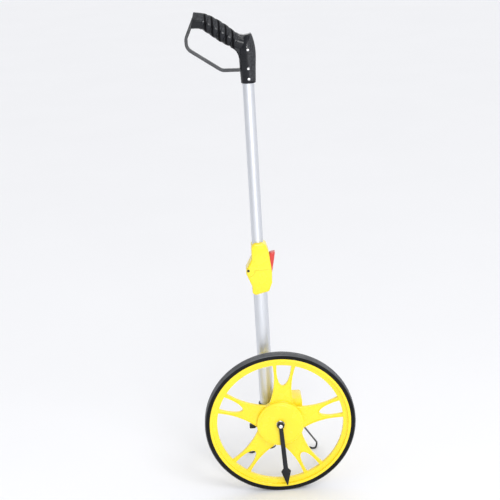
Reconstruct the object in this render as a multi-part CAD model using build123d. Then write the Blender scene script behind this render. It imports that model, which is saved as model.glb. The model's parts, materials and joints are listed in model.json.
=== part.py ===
from build123d import *
import os
from math import acos, cos, pi, radians, sin, sqrt, tan

# Folding measuring wheel, in millimetres. The origin is where the tread meets the ground, straight
# below the axle. +X is the way the user walks, +Y points from the wheel to the tube, +Z is up.

# Wheel
WHEEL_RADIUS = 159.155      # one metre of ground for each turn
TYRE_WIDTH = 20.0
TYRE_DEPTH = 10.0
TYRE_ROUND = 2.0
TREAD_GROOVES = 3
TREAD_GROOVE = 1.2
TYRE_RIB_WIDTH = 8.0
TYRE_RIB_HEIGHT = 2.0
RIM_BAND = 6.0
RIM_LEDGE = 10.0
RIM_LEDGE_WIDTH = 9.0
WEB_THICKNESS = 8.0
SPOKE_GROUPS = 5
SPOKE_TURN = -6.0           # the top group leans this many degrees ahead of straight up
SPOKE_ROOT_HALF = 26.0
SPOKE_WAIST_HALF = 18.5
SPOKE_WAIST_RADIUS = 92.0
SPOKE_TIP_HALF = 26.0
SLOT_LENGTH = 48.0
SLOT_HALF_WIDTH = 15.5
HUB_DISC_RADIUS = 50.0
HUB_COVER_HEIGHT = 8.0
HUB_COVER_WALL = 2.4
HUB_COVER_BEVEL = 2.0
HUB_BARREL_RADIUS = 15.0
HUB_BARREL_LENGTH = 10.0
BUSH_WALL = 3.0
BUSH_FLANGE = 2.0
BUSH_FLANGE_RADIUS = 12.0

# Axle line
AXLE_RADIUS = 6.0
RUNNING_CLEARANCE = 0.05
SIDE_GAP = 0.3
AXLE_NOSE = 13.0            # how far the axle reaches in front of the wheel's middle
RING_THICKNESS = 1.2
RING_WIDTH = 3.0
RING_GROOVE = 0.8
RING_MOUTH = 0.7            # half of its opening, as a share of the axle's radius
SPACER_WALL = 2.5
SPACER_CLEARANCE = 0.5
NUT_HEIGHT = 6.0
NUT_WALL = 2.5
AXLE_TAIL = 2.0             # how far the axle stands out behind the nut
WASHER_THICKNESS = 1.5
WASHER_WALL = 4.0

# Pointer
POINTER_LEAN = 3.3          # degrees ahead of straight down, as it hangs at rest
POINTER_THICKNESS = 3.6
POINTER_BOSS_RADIUS = 7.5
POINTER_BOSS_HEIGHT = 6.6
POINTER_WIDTH = 10.0
POINTER_BARB_WIDTH = 21.0
POINTER_BARB_LENGTH = 43.0
POINTER_HEAD_LENGTH = 36.0
POINTER_GROUND_GAP = 13.2
POINTER_SCREW_RADIUS = 2.5
POINTER_HOLE_GAP = 1.0      # round its boss, in the hub cover
POINTER_SCREW_DEPTH = 8.0
POINTER_HEAD_RADIUS = 4.5
POINTER_HEAD_HEIGHT = 2.6

# Gears and counter
GEAR_MODULE = 1.25
GEAR_TEETH = 24
GEAR_WIDTH = 6.0
GEAR_BACKLASH = 0.3
PRESSURE_ANGLE = 20.0
COUNTER_RISE = 26.0         # height of the drum shaft above the axle
DRUMS = ("tenths", "ones", "tens", "hundreds", "thousands")
DRUM_RADIUS = 13.0
DRUM_WIDTH = 5.0
DRUM_GAP = 0.4
DRUM_RIM = 2.0
DRUM_WEB = 1.6
DRUM_HUB_RADIUS = 4.0
SHAFT_RADIUS = 2.0
SHAFT_SEAT = 1.5            # how far the shafts go into the front wall and the cover
DRUM_SIDE_GAP = 1.0         # between the gears and the first drum
PINION_RADIUS = 4.9
PINION_WIDTH = 2.4
PINION_CLEARANCE = 0.6

# Counter housing
HOUSING_LEFT = -5.5
HOUSING_RIGHT = 49.0
HOUSING_BOTTOM_GAP = 0.4    # above the bracket's boss
HOUSING_TOP = 46.0          # above the axle
HOUSING_FRONT = 13.0
DRUM_END_GAP = 2.0
HOUSING_WALL = 2.4
HOUSING_CORNER = 5.0
COVER_THICKNESS = 3.0
GEAR_CASE_WALL = 2.4
GEAR_CASE_CLEARANCE = 1.2
WINDOW_THICKNESS = 2.0
WINDOW_LEDGE = 1.5
WINDOW_HALF_WIDTH = 8.0
SCREW_RADIUS = 1.5
SCREW_HEAD_RADIUS = 3.0
SCREW_HEAD_HEIGHT = 1.8
SCREW_POST_RADIUS = 3.6
SCREW_POST_INSET = 4.2
COVER_SCREW_LENGTH = 12.0

# Tubes
LOWER_TUBE_RADIUS = 14.5
UPPER_TUBE_RADIUS = 11.5
TUBE_WALL = 1.4
TUBE_BESIDE = 10.3          # from the axle line to the lower tube's side
TUBE_BEHIND = 30.5          # from the wheel's middle plane to its front
LOWER_TUBE_DROP = 75.2      # from the axle down to the lower tube's end
LOWER_TUBE_INSET = 26.0     # from the joint's split down to the lower tube's top
UPPER_TUBE_INSET = 15.0     # from the split up to the upper tube's end
UPPER_TUBE_TOP = 945.0
PLUG_FLANGE = 4.0
PLUG_DEPTH = 14.0
PLUG_WALL = 2.0

# Bracket that joins tube, axle, counter and stand
SOCKET_WALL = 2.4
SOCKET_TOP = 26.0           # above the axle
SOCKET_BOTTOM = -52.0
COLLAR_HEIGHT = 6.0
COLLAR_EXTRA = 0.6
BOSS_WALL = 3.6
CLAMP_SCREW_RADIUS = 2.0
CLAMP_SCREW_HEAD = 4.0
CLAMP_HEAD_HEIGHT = 2.4
CLAMP_SCREW_SHORT = 1.5     # how far its end stays inside the socket's front
CLAMP_RISES = (9.5, -26.0)  # of the two screws, from the axle

# Stand
STAND_CENTRE = 8.0
STAND_HALF_SPAN = 34.0      # half of the straight wire in the barrel
STAND_BEHIND = 6.5          # of its pivot line, from the tube's back
STAND_RISE = -41.0          # from the axle
STAND_WIRE_RADIUS = 2.0
STAND_BARREL_WALL = 3.2
STAND_FOOT_SPREAD = 83.0
STAND_FOOT_Y = 181.0
STAND_HEEL_IN = 10.0         # the foot turns inwards here, and its tip points back
STAND_HEEL_Y = 157.0
STAND_TOE_IN = 21.0
STAND_TOE_Y = 167.0
STAND_BEND = 6.0

# Reset lever
RESET_PIVOT_X = -21.0
RESET_RISE = -14.0          # from the axle
RESET_FRONT = 16.5
RESET_WIDTH = 6.0
RESET_ARM = 6.0
RESET_BOSS_RADIUS = 5.0
RESET_PIN_RADIUS = 2.0
RESET_HEAD_WIDTH = 1.6
RESET_HEAD_HEIGHT = 1.5
PAD_OUT = 44.0              # from the pivot to the far side of the pad
PAD_LENGTH = 13.0
PAD_HEIGHT = 7.6
PAD_WIDTH = 10.0
PAD_LEAD = 3.0              # of its front before the arm's
PAD_CORNER = 2.2

# Return springs, coiled round the reset lever's pin and the latch lever's pin
SPRING_WIRE = 0.4
SPRING_CLEARANCE = 0.3
SPRING_TURNS = 3
SPRING_PITCH = 1.1

# Folding joint
FOLD_OUT = 7.9              # of the pivot, from the lower tube's skin
FOLD_Z = 492.4
FOLD_GAP = 0.4
JOINT_WALL = 3.0            # in front of the lower tube and behind it
JOINT_SIDE_WALL = 2.0
JOINT_CORNER = 2.5
JOINT_EDGE = 1.5
KNUCKLE_CLEARANCE = 0.4
KNUCKLE_RELIEF = 13.6
FOLD_PIN_PROUD = 0.6
TONGUE_HALF_WIDTH = 9.0
KNUCKLE_SIDE_GAP = 0.4
FOLD_PIN_RADIUS = 2.75
JOINT_PIN_RADIUS = 2.0
JOINT_PIN_SINK = 0.5
LOWER_PIN_DROPS = (32.0, 44.0)      # below the split
UPPER_PIN_RISES = (22.0, 36.0)

# Latch lever
LATCH_OUT = 5.5             # of its pin, from the lower tube's skin
LATCH_RISE = 14.0           # of its pin above the split
LATCH_HALF_WIDTH = 7.5
LATCH_SIDE_GAP = 0.6
LATCH_PIN_RADIUS = 1.5
LATCH_BOSS_RADIUS = 4.0
LATCH_BOSS_GAP = 1.4
LATCH_PIN_HOLD = 3.0
LATCH_SLOT_RISE = 20.0      # above its pin
LATCH_POCKET_DEPTH = 26.0

# Handle
SHELL_WALL = 3.0
GRIP_HALF_WIDTH = 14.5
GUARD_THICKNESS = 6.0
GUARD_WIDTH = 12.0
HANDLE_SCREW_RADIUS = 1.6
HANDLE_HEAD_RADIUS = 3.0
HANDLE_HEAD_HEIGHT = 1.6
HANDLE_SCREW_SEAT = 13.6    # in front of the tube's middle
HANDLE_SCREW_LENGTH = 26.0
GUARD_CORNER = 7.0

# Places that follow from the sizes above
AXLE_Z = WHEEL_RADIUS
TUBE_X = -LOWER_TUBE_RADIUS - TUBE_BESIDE
TUBE_Y = LOWER_TUBE_RADIUS + TUBE_BEHIND
STAND_Y = TUBE_Y + LOWER_TUBE_RADIUS + STAND_BEHIND
POINTER_LENGTH = WHEEL_RADIUS - POINTER_GROUND_GAP
BAND_RADIUS = WHEEL_RADIUS - TYRE_DEPTH
BAND_INSIDE = BAND_RADIUS - RIM_BAND
LEDGE_INSIDE = BAND_INSIDE - RIM_LEDGE
WEB_HALF = WEB_THICKNESS / 2
COVER_FRONT = -(WEB_HALF + HUB_COVER_HEIGHT)
BUSH_BORE = AXLE_RADIUS + RUNNING_CLEARANCE
BUSH_RADIUS = BUSH_BORE + BUSH_WALL
FRONT_BUSH_FACE = -WEB_HALF
HUB_BACK = WEB_HALF + HUB_BARREL_LENGTH
GEAR_FRONT = HUB_BACK + BUSH_FLANGE
GEAR_BACK = GEAR_FRONT + GEAR_WIDTH
PITCH_RADIUS = GEAR_MODULE * GEAR_TEETH / 2
GEAR_TIP = PITCH_RADIUS + 0.9 * GEAR_MODULE
GEAR_ROOT = PITCH_RADIUS - 1.2 * GEAR_MODULE
COUNTER_X = sqrt((2 * PITCH_RADIUS) ** 2 - COUNTER_RISE ** 2)
COUNTER_Z = AXLE_Z + COUNTER_RISE
DRUM_START = GEAR_BACK + DRUM_SIDE_GAP
DRUM_PITCH = DRUM_WIDTH + DRUM_GAP
HOUSING_BACK = DRUM_START + len(DRUMS) * DRUM_PITCH + DRUM_END_GAP
COVER_BACK = HOUSING_BACK + COVER_THICKNESS
CASE_BACK = GEAR_BACK + DRUM_SIDE_GAP + GEAR_CASE_WALL
CASE_CAVITY = GEAR_TIP + GEAR_CASE_CLEARANCE
CASE_RADIUS = CASE_CAVITY + GEAR_CASE_WALL
PINION_X = COUNTER_X + DRUM_RADIUS + PINION_RADIUS + PINION_CLEARANCE
SOCKET_RADIUS = LOWER_TUBE_RADIUS + SOCKET_WALL
BOSS_RADIUS = AXLE_RADIUS + BOSS_WALL
BRACKET_FRONT = CASE_BACK
BRACKET_BACK = TUBE_Y + SOCKET_RADIUS
SPRING_ROOM = SPRING_TURNS * SPRING_PITCH + 4 * SPRING_WIRE
STAND_Z = AXLE_Z + STAND_RISE
STAND_BARREL_RADIUS = STAND_WIRE_RADIUS + STAND_BARREL_WALL
RESET_Z = AXLE_Z + RESET_RISE
RESET_BACK = RESET_FRONT + RESET_WIDTH
LOWER_TUBE_END = AXLE_Z - LOWER_TUBE_DROP
LOWER_TUBE_TOP = FOLD_Z - LOWER_TUBE_INSET
UPPER_TUBE_END = FOLD_Z + UPPER_TUBE_INSET
FOLD_AT = TUBE_X - LOWER_TUBE_RADIUS - FOLD_OUT
JOINT_HALF_WIDTH = LOWER_TUBE_RADIUS + JOINT_WALL
LATCH_AT = TUBE_X + LOWER_TUBE_RADIUS + LATCH_OUT
LATCH_Z = FOLD_Z + LATCH_RISE


def turned(profile, x=0.0, z=AXLE_Z):
    """Turns (radius, y) points about a line along Y through x and z."""
    face = make_face(Polyline(*profile, close=True))
    return Pos(x, 0, z) * revolve(face, Axis.Y)


def rod(radius, y_front, y_back, x=0.0, z=AXLE_Z):
    """A round bar along Y."""
    return turned([(0, y_front), (radius, y_front), (radius, y_back), (0, y_back)], x, z)


def ring(outer, inner, y_front, y_back, x=0.0, z=AXLE_Z):
    """A round tube along Y."""
    return turned([(inner, y_front), (outer, y_front), (outer, y_back), (inner, y_back)], x, z)


def slab(outline, y_front, y_back):
    """A plate with an outline in X and Z, from y_front back to y_back."""
    back = Plane(origin=(0, y_back, 0), x_dir=(1, 0, 0), z_dir=(0, -1, 0))
    return extrude(back * outline, y_back - y_front)


def block(x_low, x_high, y_low, y_high, z_low, z_high):
    """A box between two corners."""
    middle = ((x_low + x_high) / 2, (y_low + y_high) / 2, (z_low + z_high) / 2)
    return Pos(*middle) * Box(x_high - x_low, y_high - y_low, z_high - z_low)


def upright(radius, z_low, z_high, x=TUBE_X, y=TUBE_Y):
    """A round bar along Z."""
    return Pos(x, y, (z_low + z_high) / 2) * Cylinder(radius, z_high - z_low)


def pan_screw(radius, head_radius, head_height, x, z, face_y, length, into=1):
    """A screw along Y: its head stands on face_y and its shank goes the way of into."""
    head = sorted((face_y, face_y - into * head_height))
    shank = sorted((face_y, face_y + into * length))
    return rod(head_radius, *head, x, z) + rod(radius, *shank, x, z)


def coil(pin_radius, y_front, x, z):
    """A return spring's coil round a pin along Y."""
    radius = pin_radius + SPRING_CLEARANCE + SPRING_WIRE
    helix = Helix(SPRING_PITCH, SPRING_TURNS * SPRING_PITCH, radius)
    start = Plane(origin=helix @ 0, z_dir=helix % 0)
    spring = sweep(start * Circle(SPRING_WIRE), path=helix, is_frenet=True)
    return Pos(x, y_front + SPRING_TURNS * SPRING_PITCH, z) * Rot(90, 0, 0) * spring


def gear_outline(phase):
    """A spur gear's outline, in degrees of phase to the middle of one tooth."""
    pressure = radians(PRESSURE_ANGLE)
    base = PITCH_RADIUS * cos(pressure)
    tooth = pi / (2 * GEAR_TEETH) - GEAR_BACKLASH / (4 * PITCH_RADIUS)
    flank = []
    for step in range(5):
        radius = base + (GEAR_TIP - base) * step / 4
        roll = acos(base / radius)
        involute = (tan(pressure) - pressure) - (tan(roll) - roll)
        flank.append((radius, tooth + involute))
    flank.insert(0, (GEAR_ROOT, flank[0][1]))
    points = []
    for number in range(GEAR_TEETH):
        middle = radians(phase) + 2 * pi * number / GEAR_TEETH
        for radius, half in flank:
            points.append((radius * cos(middle - half), radius * sin(middle - half)))
        for radius, half in reversed(flank):
            points.append((radius * cos(middle + half), radius * sin(middle + half)))
    return make_face(Polyline(*points, close=True))


parts = {}

# Wheel: tyre, moulding, cover, bushes and drive gear
half_tyre = TYRE_WIDTH / 2
half_rib = TYRE_RIB_WIDTH / 2
half_ledge = RIM_LEDGE_WIDTH / 2
rib_inside = BAND_RADIUS - TYRE_RIB_HEIGHT
tyre = turned([
    (BAND_RADIUS, -half_tyre), (WHEEL_RADIUS, -half_tyre),
    (WHEEL_RADIUS, half_tyre), (BAND_RADIUS, half_tyre),
    (BAND_RADIUS, half_rib), (rib_inside, half_rib), (rib_inside, -half_rib), (BAND_RADIUS, -half_rib),
])
tread_edges = tyre.edges().filter_by(GeomType.CIRCLE).filter_by(lambda edge: edge.radius > BAND_RADIUS + 1)
tyre = fillet(tread_edges, TYRE_ROUND)
groove_pitch = (TYRE_WIDTH - 2 * TYRE_ROUND) / (TREAD_GROOVES + 1)
for number in range(TREAD_GROOVES):
    groove_y = (number - (TREAD_GROOVES - 1) / 2) * groove_pitch
    tyre -= ring(WHEEL_RADIUS + 1, WHEEL_RADIUS - TREAD_GROOVE,
                 groove_y - TREAD_GROOVE / 2, groove_y + TREAD_GROOVE / 2)
parts["tyre"] = tyre

rim = turned([
    (BAND_INSIDE, -half_tyre), (BAND_RADIUS, -half_tyre), (BAND_RADIUS, -half_rib),
    (rib_inside, -half_rib), (rib_inside, half_rib), (BAND_RADIUS, half_rib),
    (BAND_RADIUS, half_tyre), (BAND_INSIDE, half_tyre), (BAND_INSIDE, half_ledge),
    (LEDGE_INSIDE, half_ledge), (LEDGE_INSIDE, -half_ledge), (BAND_INSIDE, -half_ledge),
])
spoke_foot = HUB_DISC_RADIUS - WEB_THICKNESS
spoke_end = (LEDGE_INSIDE + BAND_INSIDE) / 2
upper_side = ThreePointArc((spoke_foot, SPOKE_ROOT_HALF), (SPOKE_WAIST_RADIUS, SPOKE_WAIST_HALF),
                           (spoke_end, SPOKE_TIP_HALF))
lower_side = ThreePointArc((spoke_end, -SPOKE_TIP_HALF), (SPOKE_WAIST_RADIUS, -SPOKE_WAIST_HALF),
                           (spoke_foot, -SPOKE_ROOT_HALF))
spoke_outline = make_face([
    upper_side, Line(upper_side @ 1, lower_side @ 0),
    lower_side, Line(lower_side @ 1, upper_side @ 0),
])
spoke_slot = Pos(LEDGE_INSIDE, 0) * Ellipse(SLOT_LENGTH, SLOT_HALF_WIDTH)
spoke_slot &= Pos(LEDGE_INSIDE - SLOT_LENGTH, 0) * Rectangle(2 * SLOT_LENGTH, 2 * SLOT_HALF_WIDTH)
spoke_outline -= spoke_slot
spokes = Sketch() + [Rot(0, 0, 90 + SPOKE_TURN + 360 / SPOKE_GROUPS * number) * spoke_outline
                     for number in range(SPOKE_GROUPS)]
web = Pos(0, 0, AXLE_Z) * slab(spokes + Circle(HUB_DISC_RADIUS), -WEB_HALF, WEB_HALF)
moulding = rim + web + ring(HUB_BARREL_RADIUS, BUSH_RADIUS, WEB_HALF, HUB_BACK)
moulding -= rod(BUSH_RADIUS, -WEB_HALF, HUB_BACK)
parts["wheel_moulding"] = moulding

cover_hole = POINTER_BOSS_RADIUS + POINTER_HOLE_GAP
parts["hub_cover"] = turned([
    (cover_hole, COVER_FRONT), (HUB_DISC_RADIUS - HUB_COVER_BEVEL, COVER_FRONT),
    (HUB_DISC_RADIUS, COVER_FRONT + HUB_COVER_BEVEL), (HUB_DISC_RADIUS, -WEB_HALF),
    (HUB_DISC_RADIUS - HUB_COVER_WALL, -WEB_HALF),
    (HUB_DISC_RADIUS - HUB_COVER_WALL, COVER_FRONT + HUB_COVER_WALL),
    (cover_hole, COVER_FRONT + HUB_COVER_WALL),
])

hub_length = HUB_BACK - FRONT_BUSH_FACE
bush_length = hub_length / 2 - 1.0
for name, face, way in (("front", FRONT_BUSH_FACE, 1), ("rear", HUB_BACK, -1)):
    flange = sorted((face, face - way * BUSH_FLANGE))
    sleeve = sorted((face, face + way * bush_length))
    parts[f"{name}_bush"] = (ring(BUSH_FLANGE_RADIUS, BUSH_BORE, *flange)
                             + ring(BUSH_RADIUS, BUSH_BORE, *sleeve))

mesh_angle = 90 - acos(COUNTER_RISE / (2 * PITCH_RADIUS)) * 180 / pi
drive_gear = Pos(0, 0, AXLE_Z) * slab(gear_outline(mesh_angle), GEAR_FRONT, GEAR_BACK)
hub_sleeve = ring(HUB_BARREL_RADIUS, BUSH_FLANGE_RADIUS, HUB_BACK, GEAR_FRONT)
parts["drive_gear"] = drive_gear + hub_sleeve - rod(AXLE_RADIUS + 1.0, GEAR_FRONT, GEAR_BACK)

# Axle line
ring_front = FRONT_BUSH_FACE - BUSH_FLANGE - SIDE_GAP - RING_THICKNESS
spacer_front = GEAR_BACK + SIDE_GAP
washer_back = BRACKET_BACK + WASHER_THICKNESS
nut_back = washer_back + NUT_HEIGHT
axle = rod(AXLE_RADIUS, -AXLE_NOSE, nut_back + AXLE_TAIL)
axle -= ring(AXLE_RADIUS + 1, AXLE_RADIUS - RING_GROOVE, ring_front, ring_front + RING_THICKNESS)
axle -= rod(POINTER_SCREW_RADIUS, -AXLE_NOSE, -AXLE_NOSE + POINTER_SCREW_DEPTH)
parts["axle"] = axle
clip = ring(AXLE_RADIUS + RING_WIDTH, AXLE_RADIUS - RING_GROOVE, ring_front, ring_front + RING_THICKNESS)
clip_mouth = AXLE_RADIUS * RING_MOUTH
parts["retaining_clip"] = clip - block(-clip_mouth, clip_mouth, ring_front - 1, ring_front + 3,
                                       AXLE_Z - AXLE_RADIUS - RING_WIDTH - 1, AXLE_Z)
parts["spacer"] = ring(AXLE_RADIUS + SPACER_WALL, AXLE_RADIUS, spacer_front, BRACKET_FRONT)
parts["axle_washer"] = ring(AXLE_RADIUS + WASHER_WALL, AXLE_RADIUS, BRACKET_BACK, washer_back)
nut = slab(RegularPolygon(AXLE_RADIUS + NUT_WALL, 6, major_radius=False), washer_back, nut_back)
parts["axle_nut"] = Pos(0, 0, AXLE_Z) * nut - rod(AXLE_RADIUS, washer_back, nut_back)

# Pointer, hung on its screw in the end of the axle
boss_back = -(AXLE_NOSE + SIDE_GAP)
boss_front = boss_back - POINTER_BOSS_HEIGHT
arm_half = POINTER_WIDTH / 2
barb_half = POINTER_BARB_WIDTH / 2
barb_start = POINTER_BARB_LENGTH - POINTER_LENGTH
barb_widest = POINTER_HEAD_LENGTH - POINTER_LENGTH
pointer_outline = make_face(Polyline(
    (-arm_half, 0), (-arm_half, barb_start), (-barb_half, barb_widest), (0, -POINTER_LENGTH),
    (barb_half, barb_widest), (arm_half, barb_start), (arm_half, 0), close=True))
arm = slab(Rot(0, 0, POINTER_LEAN) * pointer_outline, boss_back - POINTER_THICKNESS, boss_back)
pointer = Pos(0, 0, AXLE_Z) * arm + rod(POINTER_BOSS_RADIUS, boss_front, boss_back)
parts["pointer"] = pointer - rod(POINTER_SCREW_RADIUS + RUNNING_CLEARANCE, boss_front, boss_back)
screw_seat = boss_front - SIDE_GAP
parts["pointer_screw"] = pan_screw(POINTER_SCREW_RADIUS, POINTER_HEAD_RADIUS, POINTER_HEAD_HEIGHT, 0, AXLE_Z,
                                   screw_seat, POINTER_SCREW_DEPTH - AXLE_NOSE - screw_seat)

# Counter: input gear with its drum, four more drums, shafts and transfer pinions
shaft_hole = SHAFT_RADIUS + RUNNING_CLEARANCE
input_phase = mesh_angle + 180 + 180 / GEAR_TEETH
input_gear = Pos(COUNTER_X, 0, COUNTER_Z) * slab(gear_outline(input_phase), GEAR_FRONT, GEAR_BACK)
parts["input_gear"] = input_gear - rod(shaft_hole, GEAR_FRONT, GEAR_BACK, COUNTER_X, COUNTER_Z)
for number, name in enumerate(DRUMS):
    front = DRUM_START + number * DRUM_PITCH
    back = front + DRUM_WIDTH
    web_front = (front + back - DRUM_WEB) / 2
    hub_front = GEAR_BACK if number == 0 else front
    drum = ring(DRUM_RADIUS, DRUM_RADIUS - DRUM_RIM, front, back, COUNTER_X, COUNTER_Z)
    drum += ring(DRUM_RADIUS - DRUM_RIM / 2, shaft_hole, web_front, web_front + DRUM_WEB,
                 COUNTER_X, COUNTER_Z)
    drum += ring(DRUM_HUB_RADIUS, shaft_hole, hub_front, back, COUNTER_X, COUNTER_Z)
    parts[f"{name}_drum"] = drum
shaft_front = HOUSING_FRONT + HOUSING_WALL - SHAFT_SEAT
shaft_back = HOUSING_BACK + SHAFT_SEAT
parts["drum_shaft"] = rod(SHAFT_RADIUS, shaft_front, shaft_back, COUNTER_X, COUNTER_Z)
parts["pinion_shaft"] = rod(SHAFT_RADIUS, shaft_front, shaft_back, PINION_X, COUNTER_Z)
pinions = Part()
for number in range(1, len(DRUMS)):
    middle = DRUM_START + number * DRUM_PITCH - DRUM_GAP / 2
    pinions += ring(PINION_RADIUS, SHAFT_RADIUS, middle - PINION_WIDTH / 2, middle + PINION_WIDTH / 2,
                    PINION_X, COUNTER_Z)
parts["transfer_pinions"] = pinions

# Counter housing, open at the back, with a round case for the gears and a window on top
low = AXLE_Z + BOSS_RADIUS + HOUSING_BOTTOM_GAP
high = AXLE_Z + HOUSING_TOP
shell = block(HOUSING_LEFT, HOUSING_RIGHT, HOUSING_FRONT, HOUSING_BACK, low, high)
shell = fillet(shell.edges().filter_by(Axis.Y), HOUSING_CORNER)
cavity = block(HOUSING_LEFT + HOUSING_WALL, HOUSING_RIGHT - HOUSING_WALL, HOUSING_FRONT + HOUSING_WALL,
               HOUSING_BACK, low + HOUSING_WALL, high - HOUSING_WALL)
cavity = fillet(cavity.edges().filter_by(Axis.Y), HOUSING_CORNER - HOUSING_WALL)
front_hole = rod(CASE_CAVITY, HOUSING_FRONT, CASE_BACK - GEAR_CASE_WALL)
gear_room = rod(CASE_CAVITY, HOUSING_FRONT + HOUSING_WALL, CASE_BACK - GEAR_CASE_WALL, COUNTER_X, COUNTER_Z)
housing = shell + rod(CASE_RADIUS, HOUSING_FRONT, CASE_BACK)
housing += rod(CASE_RADIUS, HOUSING_FRONT, CASE_BACK, COUNTER_X, COUNTER_Z)
housing = housing - cavity - front_hole - gear_room
axle_hole = AXLE_RADIUS + SPACER_WALL + SPACER_CLEARANCE
housing -= rod(axle_hole, HOUSING_FRONT, CASE_BACK)
window_left = COUNTER_X - WINDOW_HALF_WIDTH
window_right = COUNTER_X + WINDOW_HALF_WIDTH
window_front = DRUM_START
window_back = DRUM_START + len(DRUMS) * DRUM_PITCH
housing -= block(window_left, window_right, window_front, window_back, high - HOUSING_WALL - 1, high + 1)
housing -= block(window_left - WINDOW_LEDGE, window_right + WINDOW_LEDGE, window_front - WINDOW_LEDGE,
                 window_back + WINDOW_LEDGE, high - WINDOW_THICKNESS, high + 1)
parts["window"] = block(window_left - WINDOW_LEDGE, window_right + WINDOW_LEDGE, window_front - WINDOW_LEDGE,
                        window_back + WINDOW_LEDGE, high - WINDOW_THICKNESS, high)
post_left = HOUSING_LEFT + SCREW_POST_INSET
post_right = HOUSING_RIGHT - SCREW_POST_INSET
post_top = high - SCREW_POST_INSET
screw_places = [(post_left, post_top), (post_right, low + SCREW_POST_INSET), (post_right, post_top)]
back_cover = block(HOUSING_LEFT, HOUSING_RIGHT, HOUSING_BACK, COVER_BACK, low, high)
back_cover = fillet(back_cover.edges().filter_by(Axis.Y), HOUSING_CORNER)
cover_screws = Part()
post_front = HOUSING_FRONT + HOUSING_WALL / 2
for x, z in screw_places:
    housing += rod(SCREW_POST_RADIUS, post_front, HOUSING_BACK, x, z)
    cover_screws += pan_screw(SCREW_RADIUS, SCREW_HEAD_RADIUS, SCREW_HEAD_HEIGHT, x, z,
                              COVER_BACK - SCREW_HEAD_HEIGHT, COVER_SCREW_LENGTH, into=-1)
for shaft in ("drum_shaft", "pinion_shaft"):
    housing -= parts[shaft]
    back_cover -= parts[shaft]
parts["counter_housing"] = housing - cover_screws
parts["housing_cover"] = back_cover - cover_screws
parts["cover_screws"] = cover_screws

# Bracket: tube socket, axle boss, stand barrel and reset lever's arm
socket_low = AXLE_Z + SOCKET_BOTTOM
socket_high = AXLE_Z + SOCKET_TOP
bracket = upright(SOCKET_RADIUS, socket_low, socket_high)
bracket += upright(SOCKET_RADIUS + COLLAR_EXTRA, socket_high - COLLAR_HEIGHT, socket_high)
bracket += rod(BOSS_RADIUS, BRACKET_FRONT, BRACKET_BACK)
bracket += block(TUBE_X, 0, BRACKET_FRONT, BRACKET_BACK, AXLE_Z - BOSS_RADIUS, AXLE_Z + BOSS_RADIUS)
barrel_left = STAND_CENTRE - STAND_HALF_SPAN
barrel_right = STAND_CENTRE + STAND_HALF_SPAN
barrel_line = Pos((barrel_left + barrel_right) / 2, STAND_Y, STAND_Z) * Rot(0, 90, 0)
bracket += barrel_line * Cylinder(STAND_BARREL_RADIUS, barrel_right - barrel_left)
bracket += block(TUBE_X, barrel_right, TUBE_Y + LOWER_TUBE_RADIUS / 2, STAND_Y,
                 STAND_Z - STAND_BARREL_RADIUS, STAND_Z + STAND_BARREL_RADIUS)
bracket += block(-BOSS_RADIUS, BOSS_RADIUS, TUBE_Y + LOWER_TUBE_RADIUS / 2, BRACKET_BACK,
                 STAND_Z, AXLE_Z)
reset_arm_low = RESET_Z - RESET_BOSS_RADIUS
bracket += block(RESET_PIVOT_X - RESET_BOSS_RADIUS, RESET_PIVOT_X + RESET_BOSS_RADIUS,
                 RESET_BACK + SPRING_ROOM, TUBE_Y, reset_arm_low, AXLE_Z - BOSS_RADIUS + 1)
bracket -= upright(LOWER_TUBE_RADIUS, socket_low, socket_high)
bracket -= rod(AXLE_RADIUS, BRACKET_FRONT - 1, BRACKET_BACK + 1)
bracket -= barrel_line * Cylinder(STAND_WIRE_RADIUS + RUNNING_CLEARANCE, barrel_right - barrel_left + 2)
bracket -= rod(CASE_RADIUS + SIDE_GAP, HOUSING_FRONT, BRACKET_FRONT)
head_back = RESET_FRONT - SIDE_GAP
head_front = head_back - RESET_HEAD_HEIGHT
pin_back = TUBE_Y - LOWER_TUBE_RADIUS - SIDE_GAP
reset_pin = rod(RESET_PIN_RADIUS, head_front, pin_back, RESET_PIVOT_X, RESET_Z)
reset_pin += rod(RESET_PIN_RADIUS + RESET_HEAD_WIDTH, head_front, head_back, RESET_PIVOT_X, RESET_Z)
parts["reset_pin"] = reset_pin
parts["reset_spring"] = coil(RESET_PIN_RADIUS, RESET_BACK + 2 * SPRING_WIRE, RESET_PIVOT_X, RESET_Z)
bracket -= reset_pin
clamp_screws = Part()
for rise in CLAMP_RISES:
    clamp_screws += pan_screw(CLAMP_SCREW_RADIUS, CLAMP_SCREW_HEAD, CLAMP_HEAD_HEIGHT, TUBE_X, AXLE_Z + rise,
                              BRACKET_BACK, 2 * SOCKET_RADIUS - CLAMP_SCREW_SHORT, into=-1)
parts["hub_bracket"] = bracket - clamp_screws
parts["clamp_screws"] = clamp_screws

# Lower tube and its end plug
lower_tube = upright(LOWER_TUBE_RADIUS, LOWER_TUBE_END, LOWER_TUBE_TOP)
lower_tube -= upright(LOWER_TUBE_RADIUS - TUBE_WALL, LOWER_TUBE_END, LOWER_TUBE_TOP)
plug = upright(LOWER_TUBE_RADIUS, LOWER_TUBE_END - PLUG_FLANGE, LOWER_TUBE_END)
plug += upright(LOWER_TUBE_RADIUS - TUBE_WALL, LOWER_TUBE_END, LOWER_TUBE_END + PLUG_DEPTH)
plug -= upright(LOWER_TUBE_RADIUS - TUBE_WALL - PLUG_WALL, LOWER_TUBE_END, LOWER_TUBE_END + PLUG_DEPTH)
parts["tube_end_plug"] = plug

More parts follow.
